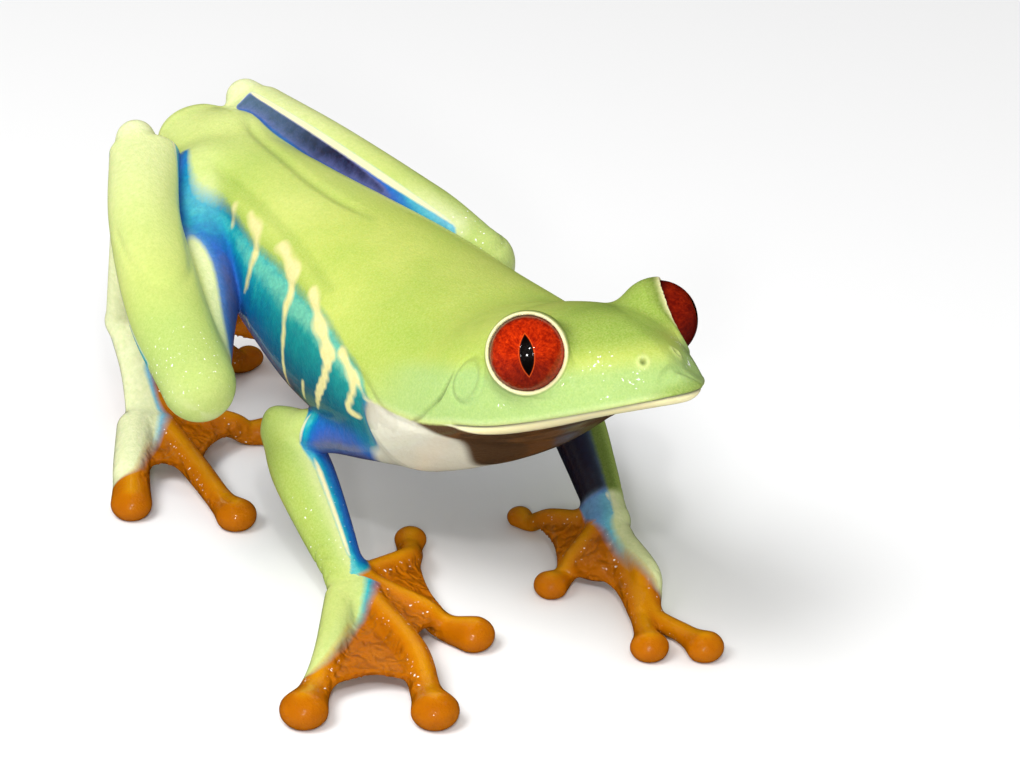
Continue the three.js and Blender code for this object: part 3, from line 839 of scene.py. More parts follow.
def store(thing, fields):
    """Writes fields to an object's points, for its material to read."""
    for name, values in fields.items():
        layer = thing.data.attributes.new(name, "FLOAT", "POINT")
        layer.data.foreach_set("value", values.astype(np.float32))


# ---- relief, markings, painted shade and painted glints: fields over the skin, in millimetres where they are lengths ----


def smooth(a, b, x):
    """0 below a, 1 above b, and an S between."""
    s = np.clip((x - a) / (b - a), 0, 1)
    return s * s * (3 - 2 * s)


def bell(x, width):
    return np.exp(-((x / width) ** 2))


def curve_at(table, x):
    """The smooth curve through (x, value) pairs, read at x."""
    table = np.array(sorted(table), float)
    dense = catmull(table, np.linspace(0, 1, 12 * len(table)))
    return np.interp(x, dense[:, 0], dense[:, 1])


def path_distance(points, path):
    """How far each point is from a smooth path, how far along (0-1) and on which side."""
    path = catmull(np.asarray(path, float), np.linspace(0, 1, 40))
    best = np.full(len(points), 1e9)
    along = np.zeros(len(points))
    turn = np.zeros(len(points))
    for i, (a, b) in enumerate(zip(path, path[1:])):
        d = b - a
        t = np.clip(((points - a) @ d) / (d @ d), 0, 1)
        off = points - (a + t[:, None] * d)
        square = (off * off).sum(1)
        closer = square < best
        best[closer] = square[closer]
        along[closer] = (i + t[closer]) / (len(path) - 1)
        turn[closer] = (d[0] * off[closer, 1] - d[1] * off[closer, 0]) / np.hypot(d[0], d[1])
    return np.sqrt(best), along, turn


def bone_frame(points, a, b):
    """Along the bone from a to b (0-1), and the arrow from the bone to each point."""
    d = b - a
    t = ((points - a) @ d) / (d @ d)
    return t, points - (a + t[:, None] * d)


def square_to(v, axis):
    """The part of v that is square to a unit axis, as a unit vector."""
    return unit(v - (v @ axis) * axis)


def cosine(arrow, axis):
    """How nearly each arrow points along a unit axis, from -1 to 1."""
    return (arrow @ axis) / length(arrow)


def roll_about(points, a, b, inward):
    """Along the bone from a to b (0-1), and the roll from its top toward the inward side."""
    t, arrow = bone_frame(points, a, b)
    axis = unit(b - a)
    return t, np.arctan2(arrow @ square_to(inward, axis), arrow @ square_to(UP, axis))


# Each field, and its value where a part of the body leaves it out. The first four say how
# far inside a marking a point is. The others are strengths: of a tint, of painted shade,
# of shine, of painted glints.
FAR_OUT = -2.0
FIELDS = {
    **dict.fromkeys(("green", "line", "pale", "orange"), FAR_OUT),
    **dict.fromkeys(("deep", "ridge_light_web_shade"), 0.5),
    **dict.fromkeys(("pallor", "milk", "moss", "web", "painted_glints", "cool", "dark_green_and_shade", "throat_shade_bar_yellow", "shade"), 0.0),
    "wet": 0.25,
}

# The lower edge of the green back, and the upper edge of the pale belly: y, height.
CAPE_EDGE = (
    (27, 24.0), (22, 27.2), (17.9, 28.9), (14.2, 28.1), (11.0, 27.6), (6.9, 26.9),
    (3.5, 26.4), (-0.7, 26.3), (-4.8, 25.7), (-9.4, 25.1), (-13.2, 23.8), (-16.9, 22.6),
    (-20.2, 21.3), (-24.2, 21.6), (-30, 22.6),
)
BELLY_EDGE = (
    (-30, 19.5), (-23, 17), (-14, 14), (-5, 13.8), (4, 15.8), (12, 19.2), (19, 22), (25, 24),
)
# Pale bars down the flank: y, height and half width, from the cape's edge.
BARS = (
    ((9.0, 27.6, 0.3), (8.3, 26.6, 0.4), (7.9, 25.2, 0.2)),
    (
        (6.6, 28.0, 0.3), (4.2, 27.2, 0.5), (3.1, 25.6, 0.35), (3.1, 23.1, 0.28),
        (3.6, 21.5, 0.32), (2.5, 19.4, 0.12),
    ),
    (
        (0.6, 27.5, 0.4), (-2.6, 26.7, 0.6), (-3.8, 25.4, 0.5), (-4.2, 23.8, 0.3),
        (-4.7, 21.8, 0.22), (-4.6, 19.0, 0.2), (-4.2, 16.6, 0.12),
    ),
    (
        (-6.4, 26.2, 0.4), (-9.0, 24.5, 0.6), (-11.4, 22.7, 0.85), (-11.2, 20.7, 0.5),
        (-9.6, 17.4, 0.3), (-8.2, 15.2, 0.15),
    ),
    (
        (-13.0, 23.4, 0.5), (-15.3, 21.6, 0.5), (-14.4, 19.0, 0.3), (-15.7, 18.6, 0.35),
        (-18.4, 19.6, 0.3),
    ),
    ((-7.85, 18.8, 0.16), (-7.0, 16.6, 0.08)),
    ((-15.0, 22.4, 0.4), (-18.0, 20.9, 0.5), (-21.0, 20.6, 0.4)),
)
# Forward of this the underside is white.
CHEST_EDGE = -21.4

# The lower edge of the head's green, the width of the pale lip below it (each by how far
# forward it is), and the reach of the pale ring round the eye.
LIP_EDGE = MOUTH_LINE + ((-11.6, -5.8), (-17.1, -4.8), (-20, -4.4))
LIP_WIDTH = (
    (-9, -0.2), (-6.6, 0.15), (-4.1, 0.6), (-1.6, 1.0), (3, 1.15), (7.6, 1.0), (10.3, 0.85),
    (14, 0.6),
)
EYE_RING = 3.4
RIM_ANGLE = 72
# Where the cheek gets painted glints, small white highlights: forward, height, and how far each way.
CHEEK_GLINTS = (
    (5.2, -1.0, 1.4, 1.1), (7.7, -2.3, 1.3, 0.8), (6.0, -3.8, 1.8, 0.5), (-1.0, -3.9, 2.0, 0.5),
)

# The forearm's inner side faces this way on the left. Its green ends at an edge, as the
# cosine from that side, and the blue deepens beyond it, partly its own colour and partly painted
# shade on the inner face.
FOREARM_INNER = np.array((0.776, -0.63, 0))
FOREARM_EDGE = {RIGHT: 0.36, LEFT: 0.5}
FOREARM_DEPTH = {RIGHT: 0.4, LEFT: 0.3}
# The head's shadow is painted on the far forearm above its wrist.
HEAD_SHADOW_PAINT = {RIGHT: 0, LEFT: 0.9}
WRIST_FOLDS = (0.8, 0.88, 0.96)
# How far inward the green reaches along the outermost finger and toe.
HAND_EDGE = {
    RIGHT: ((0, 1.9), (0.2, 1.9), (0.42, 1.2), (0.62, 0.4), (0.74, -0.5), (0.8, -1.8), (1, -4)),
    LEFT: ((0, 0.9), (0.2, 0.4), (0.4, -0.4), (0.52, -1.2), (0.7, -3), (1, -4)),
}
FOOT_EDGE = (
    (0, 2.1), (0.3, 1.9), (0.5, 1.3), (0.68, 0.8), (0.77, -0.1), (0.83, -1.6), (0.88, -3), (1, -4),
)

# The thigh's green ends at this roll from its top, by how far along it is.
THIGH_EDGE = (
    (-0.2, -1.8), (0.0, -1.7), (0.16, -1.45), (0.28, -0.9), (0.38, -0.1), (0.5, 0.51),
    (0.7, 1.12), (0.8, 1.5), (0.92, 2.0), (1.1, 3),
)
# The shank's green lies between two rolls. Its pale rim, the depth of its blue and how much
# of the knee is all green differ by side.
SHANK_EDGES = {RIGHT: (1.15, -1.45), LEFT: (0.42, -1.5)}
SHANK_RIM = {RIGHT: 0.3, LEFT: 0.6}
# The far shank's blue runs to near black: painted shade.
SHANK_DEPTH = {RIGHT: 0.5, LEFT: 2.0}
KNEE_CAP = {RIGHT: 0.12, LEFT: -0.02}

# Folds of the skin, in the frog's frame.
THROAT_FOLD = (
    (-8.8, -26.9, 27.4),
    (-10.2, -26.7, 25.2),
    (-10.5, -26.1, 24.1),
    (-10.7, -25.4, 23.2),
    (-10.9, -24.8, 22.4),
    (-11.1, -23.6, 21.5),
)
RUMP_FOLDS = (
    ((4.6, 23.0, 29.2), (2.4, 18.0, 30.0), (0.7, 10.5, 30.2), (-0.2, 3.7, 30.0), (0.1, -3.2, 29.5)),
    ((-3.2, 18.0, 29.3), (-4.3, 10.9, 28.8), (-5.7, 1.4, 28.1), (-7.6, -7.9, 26.7)),
    ((5.4, 19.0, 29.0), (5.6, 11.0, 29.0), (6.2, 3.0, 28.4)),
)
# How wide the markings of one part of the body fade into the next.
PART_BLEND = 0.35
# On the torso and the thighs the green's edge is this much of its full sharpness.
SOFT_EDGE = 0.35


def cape_distance(p):
    """How far each point is above the lower edge of the green back."""
    return (p[:, 2] - curve_at(CAPE_EDGE, p[:, 1])) * 0.9


def nostril_distance(s, f, h):
    side, forward, height = NOSTRIL_AT
    return np.sqrt((np.abs(s) - side) ** 2 + (f - forward) ** 2 + ((h - height) * 0.6) ** 2)


def ear_distance(s, f, h):
    """0 at the middle of the ear disc, 1 at its edge, and 9 on the inside of the head."""
    _, forward, height = EAR_AT
    ear = np.sqrt(((f - forward) / EAR_SIZE[0]) ** 2 + ((h - height) / EAR_SIZE[1]) ** 2)
    return np.where(np.abs(s) > 6, ear, 9)


def round_the_eye(p, side):
    """The arrow from an eyeball's centre to each point, its length, and its angle from the
    eye's axis."""
    arrow = p - eye_centre(side)
    away = length(arrow)
    return arrow, away, np.arccos(np.clip(arrow @ eye_axis(side) / away, -1, 1))


def throat(p):
    """1 on the throat, where its shade is painted dark brown, 0 behind it on the white chest."""
    s, f, h = head_coordinates(p)
    edge = 4.7 * smooth(3, 9.5, np.abs(s)) - 12.8 - 2.5 * np.maximum(0, h + 7.3)
    return smooth(-0.8, 0.8, f - edge)


def torso_fields(p):
    y, z = p[:, 1], p[:, 2]
    green = cape_distance(p)
    ripple = 0.85 + 0.25 * np.sin(2.1 * z + 1.3 * y) + 0.15 * np.sin(5.3 * z - 3.1 * y)
    bars = np.full(len(p), FAR_OUT)
    for bar in BARS:
        bar = np.array(bar)
        d, t, _ = path_distance(p[:, 1:], bar[:, :2])
        width = np.interp(t, np.linspace(0, 1, len(bar)), bar[:, 2])
        bars = np.maximum(bars, width * ripple - d)
    pale = np.maximum(curve_at(BELLY_EDGE, y) - z, (CHEST_EDGE - y) * 0.8)
    # Low on the flank the blue is darker: painted shade.
    low = smooth(-1.5, -7.5, green)
    deep = 0.22 + 0.3 * low + 0.15 * smooth(2, 9, y) - 0.2 * bell(green + 0.9, 0.8)
    # Painted shade in the folds of the rump.
    fold_shade = np.zeros(len(p))
    for path in RUMP_FOLDS:
        fold_shade = np.maximum(fold_shade, bell(path_distance(p, path)[0], 0.5))
    return {
        "green": green * SOFT_EDGE,
        "line": (bars + 0.06) * (0.45 + 0.45 * low) - 0.1 * smooth(0.3, 1.8, green),
        "pale": pale,
        "deep": deep,
        "moss": 0.35 + 0.6 * smooth(6, -8, y),
        "pallor": 0.55 * smooth(10, 20, y) + 0.25 * bell(green - 3, 2.2) * smooth(-4, 4, y),
        # Painted shade along the green's lower edge and in the rump's folds, and darker green toward the
        # front.
        "dark_green_and_shade": 0.45 * bell(green - 0.15, 0.6) * (y > -8) + 0.3 * fold_shade + 0.22 * smooth(-8, -16, y),
        "shade": 0.25 * smooth(-5, -10, green) + 0.3 * bell(green + 0.25, 0.3) * smooth(4, 10, y),
        # Where the throat's shade is painted brown, and the yellower cream round the bars.
        "throat_shade_bar_yellow": np.maximum(throat(p), bars > -0.6),
        "wet": 0.25 + 0.2 * (green < 0),
    }


def head_fields(p):
    s, f, h = head_coordinates(p)
    m = h - curve_at(LIP_EDGE, f)
    lip = curve_at(LIP_WIDTH, f)
    line = np.minimum(-m - 0.04, m + lip)
    cheek = smooth(-0.2, -2.0, h + 0.2) * smooth(-0.1, 0.6, m)
    shade = 0.75 * bell(m, 0.09) * smooth(-7.4, -6.4, f)
    for side in SIDES:
        _, away, angle = round_the_eye(p, side)
        ring = EYE_RING - away * np.sin(angle)
        close = (away < EYEBALL + 1.2) & (angle < math.pi / 2)
        line = np.maximum(line, np.where(close, ring, FAR_OUT))
        shade = np.maximum(shade, 0.35 * close * bell(ring + 0.1, 0.09))
    spot = nostril_distance(s, f, h)
    ear = ear_distance(s, f, h)
    shade = np.maximum(shade, bell(spot, 0.24))
    shade = np.maximum(shade, 0.16 * bell(ear - 1, 0.09))
    on_right = np.column_stack((np.where(s > 0, -p[:, 0], p[:, 0]), p[:, 1:]))
    crease, along, _ = path_distance(on_right, THROAT_FOLD)
    shade = np.maximum(shade, 0.5 * bell(crease, 0.13) * smooth(0, 0.1, along) * smooth(1, 0.9, along))
    crown = smooth(-1.2, 0.8, h) * smooth(-6, 0, f)
    tip = smooth(8.6, 10.8, f) * smooth(1.6, 0.4, m)
    return {
        "green": m,
        "milk": 0.25 * smooth(0.9, 0.3, m),
        "line": line,
        "pale": 2.0,
        # The throat's shade, painted brown below the lip.
        "throat_shade_bar_yellow": throat(p) * smooth(0.05, -0.1, m + lip),
        "cool": 0.9 * cheek + 0.5 * bell(ear, 0.9),
        "dark_green_and_shade": 0.75 * crown + 0.8 * tip,
        "pallor": 0.7 * bell(spot - 0.45, 0.2),
        "shade": shade,
        # Painted glints on the wet cheek.
        "painted_glints": sum(bell(f - a, u) * bell(h - b, v) for a, b, u, v in CHEEK_GLINTS),
        "wet": 0.45 + 0.2 * cheek,
    }


def upper_arm_fields(p, side):
    shoulder, elbow, _ = arm_of(side)
    t, arrow = bone_frame(p, shoulder, elbow)
    up = cosine(arrow, UP)
    green = (t - 0.8 + 0.06 * up) * HUMERUS
    # Brighter blue on top and darker beneath: painted shade on the underside.
    deep = 0.62 - 0.2 * smooth(0.1, 0.9, up) + 0.2 * smooth(0.2, -0.5, up)
    deep = deep - 0.5 * smooth(0.42, 0.22, t) - 0.4 * bell(green + 0.6, 1.0)
    return {
        "green": green,
        "line": np.minimum(green + 0.25, -green),
        "pale": (0.24 - 0.1 * up - t) * HUMERUS,
        "deep": np.clip(deep, 0.02, 1),
        "cool": 0.3,
        "wet": 0.8,
        "pallor": 0.35,
    }


def forearm_fields(p, side):
    _, elbow, wrist = arm_of(side)
    t, arrow = bone_frame(p, elbow, wrist)
    c = cosine(arrow, square_to(FOREARM_INNER * (-side, 1, 1), unit(wrist - elbow)))
    edge = FOREARM_EDGE[side] + 1.2 * smooth(0.14, -0.02, t)
    green = (edge - c) * 2.6
    deep = np.clip(0.12 - FOREARM_DEPTH[side] * (green + 0.4), 0.08, 0.78)
    # The head's painted shadow: deeper blue and darker green on the inner side, and no pale line.
    head_shadow = HEAD_SHADOW_PAINT[side] * smooth(0.88, 0.81, t)
    return {
        "green": green * 0.6,
        "line": np.minimum(green + 0.42, -green - 0.02) - head_shadow,
        "deep": deep + head_shadow,
        "pallor": 0.1 + 0.6 * bell(green - 0.4, 0.9),
        "milk": 0.4 * bell(green - 0.2, 0.6) + (side == LEFT) * 0.7 * smooth(0.8, 0.88, t),
        "cool": 0.5 * bell(green - 1.0, 1.2),
        "dark_green_and_shade": 0.2 + 0.3 * smooth(0.2, -0.9, c) + head_shadow * smooth(-0.6, 0.3, c),
        "shade": 0.55 * head_shadow * smooth(-0.6, 0.3, c),
        # Painted glints on the near forearm.
        "painted_glints": 0.5 * smooth(0.2, 0.6, t) * (side == RIGHT),
        "wet": 0.8,
    }


def paw_fields(p, lines, outer, table, side, start):
    """A hand or foot: green runs down the outer digit, the rest is orange."""
    _, t, turn = path_distance(p[:, :2], np.array(lines[outer])[:, :2])
    inward = turn * -side
    green = curve_at(table, t) - inward
    strip = 0.9 * smooth(0.4, 0.1, t) - 0.1
    away = length(p - start)
    ahead = away - 1
    across = [path_distance(p[:, :2], line[:, :2])[0] for line in lines]
    ridge = np.min(across, axis=0)
    pad = np.min([length(p - line[-1]) for line in lines], axis=0)
    web = smooth(0.7, 1.3, ridge) * smooth(2.0, 3.2, pad) * (0.2 + 0.8 * smooth(0.3, -0.5, green))
    behind = np.zeros(len(p), bool)
    if len(lines) == 4:
        behind = (t < 0.04) & (inward > 0.4)
    else:
        inner = np.min(across[: outer - 1], axis=0)
        green = np.minimum(green, inner - across[outer] + 3.5 * smooth(6, 2, away))
    orange = np.where(behind, np.maximum(ahead, -green - strip), np.minimum(-green - strip, ahead))
    return {
        "green": np.where(behind, np.minimum(green, -ahead), green) * 0.45,
        "orange": orange * 0.6,
        "deep": np.clip(0.14 - 0.35 * (green + 0.4), 0.05, 0.75),
        # Lighter orange on the digits' ridges and pads, and darker in the webs: painted light and shade.
        "ridge_light_web_shade": 0.3 + 0.6 * bell(ridge, 0.75) + 0.15 * bell(pad, 1.6),
        "pallor": 0.5 + 0.4 * smooth(0.3, 0.8, t),
        "cool": 0.6 * bell(green - 0.3, 0.9),
        "web": web,
        # Painted glints on the webs beside the digits.
        "painted_glints": bell(ridge - 0.9, 0.5) * smooth(2.0, 3.0, pad) * np.where(green > -0.5, 0.2, 0.7),
        "wet": 1.0,
    }


def hand_fields(p, side):
    fields = paw_fields(p, finger_lines(side), 3, HAND_EDGE[side], side, arm_of(side)[2])
    fields["milk"] = 0.6 * (side == LEFT)
    return fields


def foot_fields(p, side):
    fields = paw_fields(p, toe_lines(side), 4, FOOT_EDGE, side, leg_of(side)[3])
    fields["pallor"] = 1.0
    fields["milk"] = 0.9
    return fields


def thigh_fields(p, side):
    hip, knee = leg_of(side)[:2]
    t, roll = roll_about(p, hip, knee, medial(POSE[side]["femur"][0], side))
    green = np.minimum(curve_at(THIGH_EDGE, t) - roll, roll + 1.4) * 3.2
    green = np.maximum(green, cape_distance(p))
    return {
        "green": green * SOFT_EDGE,
        "deep": np.clip(0.27 + 0.45 * smooth(0.2, 0.5, t) - 0.12 * bell(green + 0.7, 0.8), 0.05, 0.85),
        "pallor": 0.8,
        "milk": 0.75 * bell(green - 1.0, 1.6) * smooth(0.05, 0.2, t),
        "cool": 0.35,
        "wet": 0.35,
    }


def shank_fields(p, side):
    _, knee, heel = leg_of(side)[:3]
    t, roll = roll_about(p, knee, heel, medial(POSE[side]["shank"][0] + 180, side))
    inner, outer = SHANK_EDGES[side]
    inner = inner + 1.2 * smooth(0.12, 0.0, t)
    green = np.minimum(inner - roll, roll - outer) * 3.2
    green = np.maximum(green, np.maximum(KNEE_CAP[side] - t, (t - 0.96) * 2) * SHANK)
    return {
        "green": green,
        "line": np.minimum(green + SHANK_RIM[side] * smooth(0.0, 0.4, t), -green),
        "deep": np.clip(0.12 + SHANK_DEPTH[side] * (-green - 0.3) * smooth(0.15, 0.6, t), 0.08, 1),
        "pallor": 0.3 + 0.7 * smooth(0.2, 0.8, t),
        "milk": 0.35 * smooth(0.5, 1.0, t) + (side == LEFT) * 0.8 * smooth(0.4, 0.1, t) * bell(green, 1.5),
        "cool": 0.5 * smooth(0.4, 0.0, t),
        "dark_green_and_shade": 0.25 * smooth(0.35, 0.0, t),
        # Painted glints near the knee.
        "painted_glints": 0.7 * smooth(0.3, 0.05, t),
        "wet": 0.3,
    }


def tarsus_fields(p, side):
    heel, instep = leg_of(side)[2:4]
    t, arrow = bone_frame(p, heel, instep)
    c = cosine(arrow, medial(POSE[side]["metatarsus"][0], side))
    green = np.maximum((0.9 - c) * 1.8, (0.14 - t) * TARSUS)
    return {
        "green": green,
        "orange": np.minimum(-green - 0.8, (t - 0.95) * TARSUS),
        "deep": 0.7,
        "pallor": 1.0,
        "milk": 0.8,
        "wet": 0.3,
    }


def part_fields(name, p):
    if name == "torso":
        return torso_fields(p)
    if name == "head":
        return head_fields(p)
    kind, tag = name.rsplit("_", 1)
    side = RIGHT if tag == "right" else LEFT
    return {
        "upper_arm": upper_arm_fields,
        "forearm": forearm_fields,
        "hand": hand_fields,
        "thigh": thigh_fields,
        "shank": shank_fields,
        "tarsus": tarsus_fields,
        "foot": foot_fields,
    }[kind](p, side)


def paint_fields(points, parts):
    """Each field over the whole skin, every part fading into its neighbours."""
    distances = np.array([patch.sample(points) for patch in parts.values()])
    weights = np.exp(-(distances - distances.min(0)) / PART_BLEND)
    weights /= weights.sum(0)
    totals = {field: np.zeros(len(points)) for field in FIELDS}
    for name, weight in zip(parts, weights):
        near_it = weight > 0.01
        found = part_fields(name, points[near_it])
        for field, default in FIELDS.items():
            value = np.clip(found.get(field, default), FAR_OUT, -FAR_OUT)
            totals[field][near_it] += weight[near_it] * value
    return totals


def fold(points, path, width, depth):
    """A groove along a path, fading out at both ends."""
    d, t, _ = path_distance(points, path)
    return -depth * bell(d, width) * smooth(0, 0.15, t) * smooth(1, 0.85, t)


def head_relief(p):
    s, f, h = head_coordinates(p)
    m = h - curve_at(LIP_EDGE, f)
    mouth = smooth(-7.3, -6.3, f)
    lift = -0.2 * bell(m, 0.13) * mouth
    lift += 0.13 * bell(m + 0.45, 0.3) * mouth + 0.1 * bell(m - 0.4, 0.3) * mouth
    lift -= 0.08 * bell(m + 1.15, 0.22) * mouth + 0.35 * bell(m - 1.8, 1.0) * smooth(6.5, 8.5, f)
    spot = nostril_distance(s, f, h)
    lift += 0.08 * bell(spot - 0.45, 0.25) - 0.42 * bell(spot, 0.22)
    ear = ear_distance(s, f, h)
    lift += 0.1 * bell(ear - 1.0, 0.16) - 0.1 * bell(ear - 1.3, 0.16) - 0.05 * (ear < 0.85)
    for side in SIDES:
        arrow, away, angle = round_the_eye(p, side)
        gap = (angle - math.radians(RIM_ANGLE)) * (EYEBALL + LID_THICKNESS)
        below = smooth(0.5, -0.3, cosine(arrow, HEAD_TURN @ UP))
        lift -= 0.06 * (away < EYEBALL + 2) * bell(gap - 0.1, 0.12) * below
    return lift


def body_relief(p):
    lift = fold(p, THROAT_FOLD, 0.2, 0.3) + fold(p * (-1, 1, 1), THROAT_FOLD, 0.2, 0.3)
    for path in RUMP_FOLDS:
        lift += fold(p, path, 0.55, 0.3)
    edge = cape_distance(p)
    flank = smooth(-27, -24, p[:, 1]) * smooth(13, 10, p[:, 1]) * (np.abs(p[:, 0]) > 5)
    lift += flank * (0.1 * bell(edge - 0.5, 0.5) - 0.12 * bell(edge + 0.25, 0.3))
    return lift


def limb_relief(p, parts):
    lift = np.zeros(len(p))
    for side in SIDES:
        _, elbow, wrist = arm_of(side)
        t, arrow = bone_frame(p, elbow, wrist)
        outer = cosine(arrow, FOREARM_INNER * (side, -1, 1))
        near_it = parts[f"forearm_{TAG[side]}"].sample(p) < 0.5
        for at in WRIST_FOLDS:
            wave = t - at + 0.02 * np.sin(arrow[:, 2] * 2.5)
            lift -= near_it * 0.13 * bell(wave * FOREARM, 0.16) * smooth(0.0, 0.5, outer)
        point = elbow + unit(np.array((side * 0.5, 0.4, 1))) * 2.0
        lift += 0.5 * bell(length(p - point), 1.1)
    return lift


def normals_of(points, faces):
    """Outward directions at the points, from the faces round them, which are quads or more."""
    lengths = np.array([len(f) for f in faces])
    total = np.zeros_like(points)
    for count in np.unique(lengths):
        group = np.array([f for f in faces if len(f) == count])
        a, b, c, d = [points[column] for column in group.T[:4]]
        normal = np.cross(c - a, d - b)
        for column in group.T:
            total += gather(column, normal, len(points))
    return unit(total + 1e-12)


def is_head(points):
    s, f, h = head_coordinates(points)
    return (f > -9) & (length(np.stack((s, f, h + 3), 1)) < 14)


points, faces = refine(points, quads, is_head(points[quads].mean(1)))
lift = body_relief(points) + limb_relief(points, parts)
in_front = parts["head"].sample(points) < 1.2
lift[in_front] += head_relief(points[in_front])
fields = paint_fields(points, parts)
points = points + normals_of(points, faces) * lift[:, None]
low, high = (np.array(corner) / MM - SHIFT for corner in CAD_BOX)
points = np.clip(points, low + BOX_GAP, high - BOX_GAP)

skin = new_mesh("skin", points, faces)
store(skin, fields)
FLESH = [n for n in frame["nodes"] if not n.startswith("eye_")]
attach(skin, "root")
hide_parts(*FLESH)

# ---- materials ----


def srgb(red, green, blue):
    """A colour from its eight-bit values, as the linear numbers that a shader takes."""
    parts = [c / 255 for c in (red, green, blue)]
    return (*[c / 12.92 if c <= 0.04045 else ((c + 0.055) / 1.055) ** 2.4 for c in parts], 1)


class Nodes:
    """A material's node tree, with short ways to add to it."""

    def __init__(self, name):
        self.material = bpy.data.materials.new(name)
        self.material.use_nodes = True
        self.tree = self.material.node_tree
        self.shader = self.tree.nodes["Principled BSDF"]

    def put(self, kind, inputs=(), **settings):
        node = self.tree.nodes.new(kind)
        for key, value in settings.items():
            setattr(node, key, value)
        for key, value in dict(inputs).items():
            self.feed(node.inputs[key], value)
        return node

    def feed(self, socket, value):
        if isinstance(value, bpy.types.NodeSocket):
            self.tree.links.new(value, socket)
        else:
            socket.default_value = value

    def math(self, operation, a, b=0.0, c=0.0, clamp=False):
        node = self.put("ShaderNodeMath", {0: a, 1: b, 2: c}, operation=operation)
        node.use_clamp = clamp
        return node.outputs[0]

    def field(self, name):
        return self.put("ShaderNodeAttribute", attribute_name=name).outputs["Fac"]

    def share(self, value, gain, base=0.0):
        """A value scaled and raised, and held between 0 and 1."""
        return self.math("MULTIPLY_ADD", value, gain, base, clamp=True)

    def grains(self, where, scale, detail, roughness, warp=0.0):
        """Noise over a vector, from -1 to 1."""
        inputs = {"Vector": where, "Scale": scale, "Detail": detail, "Roughness": roughness}
        found = self.put("ShaderNodeTexNoise", {**inputs, "Distortion": warp})
        return self.math("MULTIPLY_ADD", found.outputs["Fac"], 2.0, -1.0)

    def noise(self, per_mm, detail, roughness=0.55, stretch=None, warp=0.0):
        """Noise with this many grains to the millimetre, from -1 to 1."""
        where = self.put("ShaderNodeTexCoord").outputs["Object"]
        if stretch:
            where = self.put("ShaderNodeMapping", {"Vector": where, "Scale": stretch}).outputs[0]
        return self.grains(where, per_mm / MM, detail, roughness, warp)

    def mask(self, field, soft, ragged, grain):
        """1 where the field is above zero, with an edge this soft and this ragged."""
        value = self.math("MULTIPLY_ADD", grain, ragged, self.field(field))
        return self.share(value, 1 / soft, 0.5)

    def mix(self, factor, a, b):
        node = self.put("ShaderNodeMix", data_type="RGBA")
        self.feed(node.inputs[0], factor)
        self.feed(node.inputs[6], a)
        self.feed(node.inputs[7], b)
        return node.outputs[2]

    def tint(self, colour, *layers):
        """A colour with others laid over it in turn, each by its share."""
        for share, over in layers:
            colour = self.mix(share, colour, over)
        return colour

    def ramp(self, factor, *stops):
        node = self.put("ShaderNodeValToRGB", {0: factor})
        elements = node.color_ramp.elements
        while len(elements) < len(stops):
            elements.new(0.5)
        for element, (at, colour) in zip(elements, stops):
            element.position = at
            element.color = colour
        return node.outputs[0]

    def bump(self, height, strength, depth):
        """Relief this deep in millimetres, as a normal."""
        inputs = {"Height": height, "Strength": strength, "Distance": depth * MM}
        return self.put("ShaderNodeBump", inputs).outputs[0]

    def surface(self, inputs):
        """Feeds the shader, and returns the material."""
        for name, value in inputs.items():
            self.feed(self.shader.inputs[name], value)
        return self.material


# The skin's noises, from broad patches to pores: grains to the millimetre, detail and
# roughness.
SKIN_NOISES = ((0.12, 2), (0.6, 3), (2.4, 3, 0.6), (6, 2, 0.6))


def blue_skin(n, grain):
    """Teal on the flanks; blue to near black on the limbs, by how deep it is. The darkest blues are
    painted shade.
    """
    streaks = n.noise(0.9, 4, 0.65, stretch=(1, 1, 0.45))
    deep = n.math("MULTIPLY_ADD", streaks, 0.16, n.field("deep"))
    blue = n.ramp(
        deep,
        (0.0, srgb(95, 205, 190)),
        (0.18, srgb(15, 165, 185)),
        (0.36, srgb(8, 112, 182)),
        (0.55, srgb(44, 98, 190)),
        (0.75, srgb(92, 96, 150)),
        (1.0, srgb(34, 24, 50)),
    )
    teal = n.ramp(
        deep,
        (0.05, srgb(110, 190, 160)),
        (0.2, srgb(28, 146, 138)),
        (0.42, srgb(12, 104, 116)),
        (0.7, srgb(12, 62, 74)),
    )
    return n.tint(
        blue,
        (n.field("moss"), teal),
        (n.share(n.field("milk"), 0.75), srgb(150, 196, 226)),
        (n.share(grain, 0.35, 0.12), srgb(10, 60, 95)),
    )


def white_skin(n, grain):
    """White on the belly and the chest, and on the throat dark brown, its painted shade."""
    white = n.mix(n.share(grain, 0.3, 0.2), srgb(222, 220, 202), srgb(196, 188, 160))
    painted_throat_shade = n.mix(n.share(grain, 0.4, 0.4), srgb(92, 66, 40), srgb(66, 44, 26))
    return n.mix(n.field("throat_shade_bar_yellow"), white, painted_throat_shade)


def cream_skin(n, patchy, grain):
    """The lip, the eye's ring and the lines along the limbs, and the yellower bars."""
    cream = n.mix(n.share(patchy, 0.4, 0.4), srgb(240, 232, 190), srgb(236, 226, 160))
    yellow = n.mix(n.share(grain, 0.5, 0.3), srgb(232, 222, 160), srgb(198, 192, 118))
    return n.mix(n.field("throat_shade_bar_yellow"), cream, yellow)


